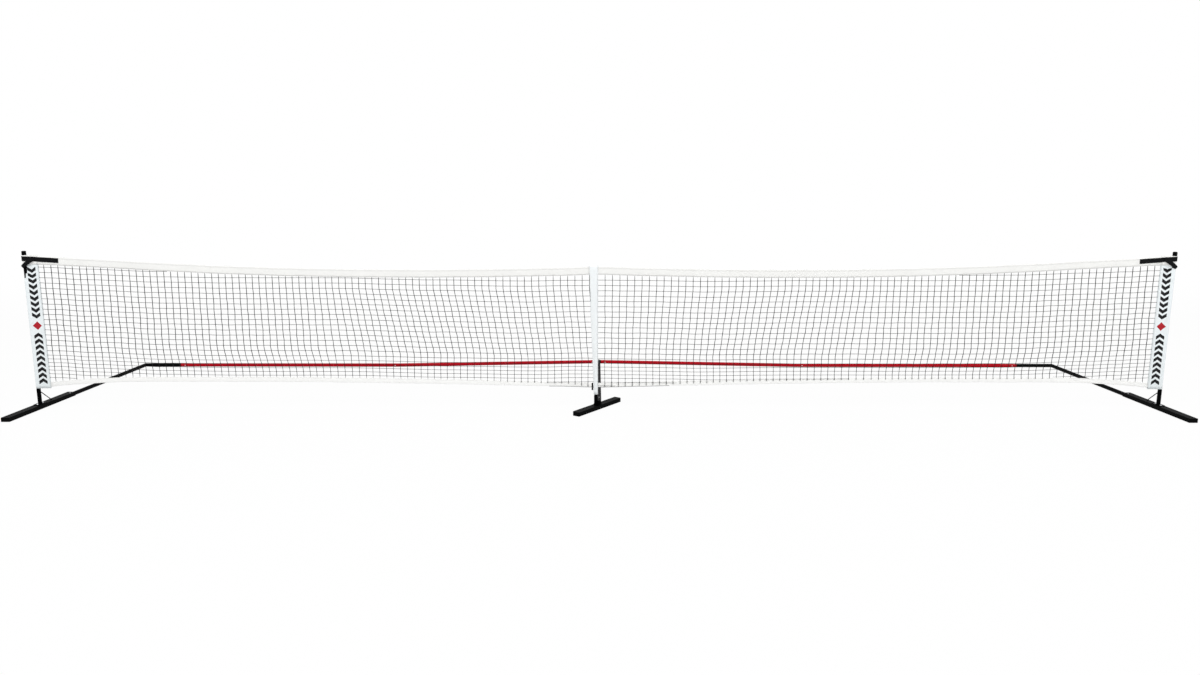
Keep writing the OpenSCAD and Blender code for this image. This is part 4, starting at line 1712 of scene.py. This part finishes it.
@dataclass
class HalfNet(HalfPart):
    """The cloth, cords and straps of one half of the net."""

    cap_gap: float = 0.001
    loop_height: float = 0.064
    loop_reach: float = 0.075
    loop_layer: float = 0.0034
    band_layer: float = 0.0024
    print_centre: float = 0.52
    tail_fall: float = 0.025

    @property
    def post(self) -> str:
        """The node that carries this half's cloth."""
        return self.named("post")

    def build_tapes(self) -> None:
        """Makes the top tape with its wrap round the post, and the bottom band."""
        lay, high = self.layout, self.layout.cap_low - self.cap_gap
        tape = TopTape(lay, self.side)
        settle_sheet(tape.build(), TAPE_CLOTH, tape.cut(), self.post, self.named("top_tape"))
        wrap = PostWrap(
            lay, self.side, self.loop_reach, self.loop_layer, word="tape_wrap",
            low=high - self.loop_height, high=high, far_low=lay.end_height - lay.tape_height,
        )
        settle_sheet(wrap.build(), TAPE_CLOTH, wrap.cut(), self.post)
        band = BottomBand(lay, self.side)
        # The bottom band's cloth is lighter than the tape's: painted light.
        settle_sheet(band.build(), HEM_CLOTH_PAINTED_LIGHT, band.cut(), self.post, self.named("bottom_band"))
        settle(band.build_cord(), EDGE_CORD)

    def printed(self, word: str, round_post: float = 0.0, start: float = 0.0) -> PrintedCloth:
        """The printed cloth of one part of the end band.

        Args:
            word: Which part it is for.
            round_post: Length of cloth round the post, or 0 for a layer that ends at the post.
            start: Where the part starts above the band's lower edge.

        Returns:
            The finish.
        """
        reach = self.layout.band_reach
        centres = (reach * self.print_centre, reach * (2 - self.print_centre) + round_post)
        return PrintedCloth(
            f"{self.side.label} {word} printed cloth", Slot.CLOTH, BAND_WHITE, BAND_SHADE, (0.004,),
            middle=centres if round_post else centres[:1], start=start,
        )

    def build_end_band(self) -> None:
        """Makes the printed band that wraps the end post, and the layers above its wrap."""
        lay, edge = self.layout, GUSSET_EDGES[self.side]
        band = PostWrap(
            lay, self.side, lay.band_reach, self.band_layer, word="band_wrap", low=lay.band_low,
            high=WRAP_TOPS[self.side], creases=0.0011,
        )
        finish = self.printed("band", math.pi * band.ring)
        settle_sheet(band.build(), finish, band.cut(), self.post, self.named("end_band"))
        gusset = BandGusset(lay, self.side, lay.band_reach, self.band_layer, edge=edge)
        finish = self.printed("band top", start=edge[0][0] - lay.band_low)
        for layer in gusset.build():
            settle_sheet(layer, finish, gusset.cut(), self.post)

    def build_straps(self) -> None:
        """Makes the two webbing straps at the top of the post."""
        lay = self.layout
        lift, reach, drop = STRAP_LINES[self.side]
        upper = TapeStrap(lay, self.side, lay.end_height + lift, reach, drop)
        settle(upper.build(), BLACK_WEBBING, self.named("upper_strap"))
        lower = TailStrap(lay, self.side, lay.end_height - self.tail_fall)
        settle(lower.build(), BLACK_WEBBING, self.named("lower_strap"))

    def build(self) -> None:
        """Makes the whole half."""
        settle(CordNet(self.layout, self.side).build(), NET_CORD, self.named("net"))
        self.build_tapes()
        self.build_end_band()
        self.build_straps()


@dataclass
class CentreCloth:
    """The sleeve on the centre post and its tie."""

    layout: Layout

    def build(self) -> None:
        """Makes both pieces."""
        sleeve = CentreSleeve(self.layout)
        settle_sheet(sleeve.build(), SLEEVE_CLOTH, sleeve.cut(), "centre_post", "centre_sleeve")
        settle(TieTab(*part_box("centre_tie")).build(), BLACK_WEBBING, "centre_tie")


@dataclass
class FrameTrim:
    """Weld beads and washers on the steel frame."""

    layout: Layout
    sink: float = 0.0006
    bolt_inset: float = 0.005
    flange_rise: float = 0.0046

    def weld(self, label: str, x: float, z: float) -> None:
        """Makes the weld round one socket.

        Args:
            label: Which post it is at.
            x: Place of the post.
            z: Height of the weld.
        """
        ring = self.layout.socket_radius + self.sink
        settle(WeldBead(f"{label}_socket_weld", Vector((x, 0, z)), ring).build(), BLACK_COAT)

    def build(self) -> None:
        """Makes the trim at the end posts and at the centre post."""
        top = self.layout.plate_top
        for side in Side:
            x = side.value * self.layout.half_span
            self.weld(side.label, x, top + self.sink)
            low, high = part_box(f"{side.label}_base_bolts")
            for word, y in (("front", low.y + self.bolt_inset), ("back", high.y - self.bolt_inset)):
                settle(Washer(f"{side.label}_{word}_washer", Vector((x, y, top))).build(), PLATED)
        self.weld("centre", self.layout.centre_x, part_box("centre_hub")[0].z + self.flange_rise)


NODE_FINISHES = (BLACK_COAT, RED_COAT, PLASTIC, PLATED, SLEEVE_CLOTH, BLACK_WEBBING, NET_CORD)


def finish_nodes() -> None:
    """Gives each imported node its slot's finish."""
    by_slot = {finish.slot.value: finish for finish in NODE_FINISHES}
    for part in frame["record"]["subparts"]:
        node = frame["nodes"][part["node"]]
        node.data.materials.clear()
        node.data.materials.append(by_slot[part["material_slot"]].build())
        select_only(node)
        bpy.ops.object.shade_smooth_by_angle(angle=math.radians(30))


# ---------------------------------------------------------------- studio


@dataclass(frozen=True)
class Camera:
    """The camera: a fitted view from the front, a little above the net."""

    place: Point = (-0.019, -4.918, 1.323)
    pitch: float = 9.29
    roll: float = 0.045
    focal_pixels: float = 841.7
    centre_x: float = 596.1
    centre_y: float = 323.4
    image_wide: float = 1200.0
    image_high: float = 675.0
    sensor: float = 36.0
    clip_end: float = 200.0

    def build(self) -> None:
        """Makes the camera and hands it to the scene."""
        data = bpy.data.cameras.new("camera")
        data.sensor_width = self.sensor
        data.lens = self.focal_pixels / self.image_wide * self.sensor
        data.shift_x = (self.image_wide / 2 - self.centre_x) / self.image_wide
        data.shift_y = (self.centre_y - self.image_high / 2) / self.image_wide
        data.clip_end = self.clip_end
        camera = add_object("camera", data)
        camera.location = self.place
        camera.rotation_euler = (math.radians(90 - self.pitch), 0, 0)
        camera.rotation_euler.rotate_axis("Z", math.radians(self.roll))
        bpy.context.scene.camera = camera


@dataclass(frozen=True)
class Lamp:
    """A square lamp that faces the object: its name, place, side in metres and power in watts."""

    name: str
    place: Point
    size: float
    power: float
    target: Point = (0, 0.4, 0.3)

    def build(self) -> None:
        """Hangs the lamp."""
        data = bpy.data.lights.new(self.name, "AREA")
        data.size = self.size
        data.energy = self.power
        lamp = add_object(self.name, data)
        lamp.location = self.place
        toward = Vector(self.target) - Vector(self.place)
        lamp.rotation_euler = toward.to_track_quat("-Z", "Y").to_euler()


@dataclass(frozen=True)
class Studio:
    """Pale floor, white surround and soft lamps."""

    floor_half: float = 60.0
    floor_drop: float = 0.0002
    floor_shade: float = 0.80
    near_glow: float = 0.95
    glow_start: float = 2.0
    glow_full: float = 7.0
    sky: float = 0.40
    lamps: tuple[Lamp, ...] = (
        Lamp("key", (-4.5, -6.0, 7.5), 5.0, 482),
        Lamp("fill", (6.0, -4.0, 5.5), 6.0, 269),
        Lamp("top", (0.0, 3.0, 8.0), 8.0, 291),
    )

    def seen_share(self, s: Shader) -> Socket:
        """1 for rays that show the background: camera, glossy and transmission rays."""
        rays = s.node("LightPath").outputs
        return s.math(
            "MAXIMUM", s.math("MAXIMUM", rays["Is Camera Ray"], rays["Is Glossy Ray"]),
            rays["Is Transmission Ray"],
        )

    def floor_glow(self, s: Shader) -> Socket:
        """How much of the floor is plain white: less around the object, all of it far away."""
        away = s.math("ABSOLUTE", s.parts(s.object_place())["Y"])
        fade = s.node("MapRange", interpolation_type="SMOOTHSTEP")
        return s.fill(
            fade, Value=away, From_Min=self.glow_start, From_Max=self.glow_full, To_Min=self.near_glow,
            To_Max=1.0,
        ).outputs[0]

    def build_floor(self) -> None:
        """Makes the floor, which keeps a soft shadow."""
        floor = primitive(
            "studio_floor", bpy.ops.mesh.primitive_plane_add, size=2 * self.floor_half,
            location=(0, 0, -self.floor_drop),
        )
        material = bpy.data.materials.new("studio floor")
        material.use_nodes = True
        material.node_tree.nodes.clear()
        s = Shader(material.node_tree)
        matt = s.fill(s.node("BsdfDiffuse"), Color=(self.floor_shade,) * 3).outputs[0]
        light = s.fill(s.node("Emission"), Color=(1, 1, 1)).outputs[0]
        mix = s.node("MixShader")
        for socket, value in zip(mix.inputs, (s.times(self.seen_share(s), self.floor_glow(s)), matt, light)):
            s.feed(socket, value)
        s.fill(s.node("OutputMaterial"), Surface=mix.outputs[0])
        floor.data.materials.append(material)

    def build_world(self) -> None:
        """Makes the surround: white where it is seen, dimmer as a light."""
        world = bpy.data.worlds.new("studio")
        world.use_nodes = True
        bpy.context.scene.world = world
        s = Shader(world.node_tree)
        glow = s.ramp(self.seen_share(s), self.sky, 1.0)
        s.fill(world.node_tree.nodes["Background"], Color=(1, 1, 1), Strength=glow)

    def build(self) -> None:
        """Makes the whole studio."""
        self.build_floor()
        self.build_world()
        for lamp in self.lamps:
            lamp.build()
        bpy.context.scene.view_settings.view_transform = "Standard"


def main() -> None:
    """Builds the object's looks in order."""
    logging.basicConfig(level=logging.INFO, format="%(message)s")
    Camera().build()
    layout = Layout.from_frame()
    finish_nodes()
    for side in Side:
        HalfNet(layout, side).build()
    CentreCloth(layout).build()
    FrameTrim(layout).build()
    Studio().build()


if __name__ == "__main__":
    main()
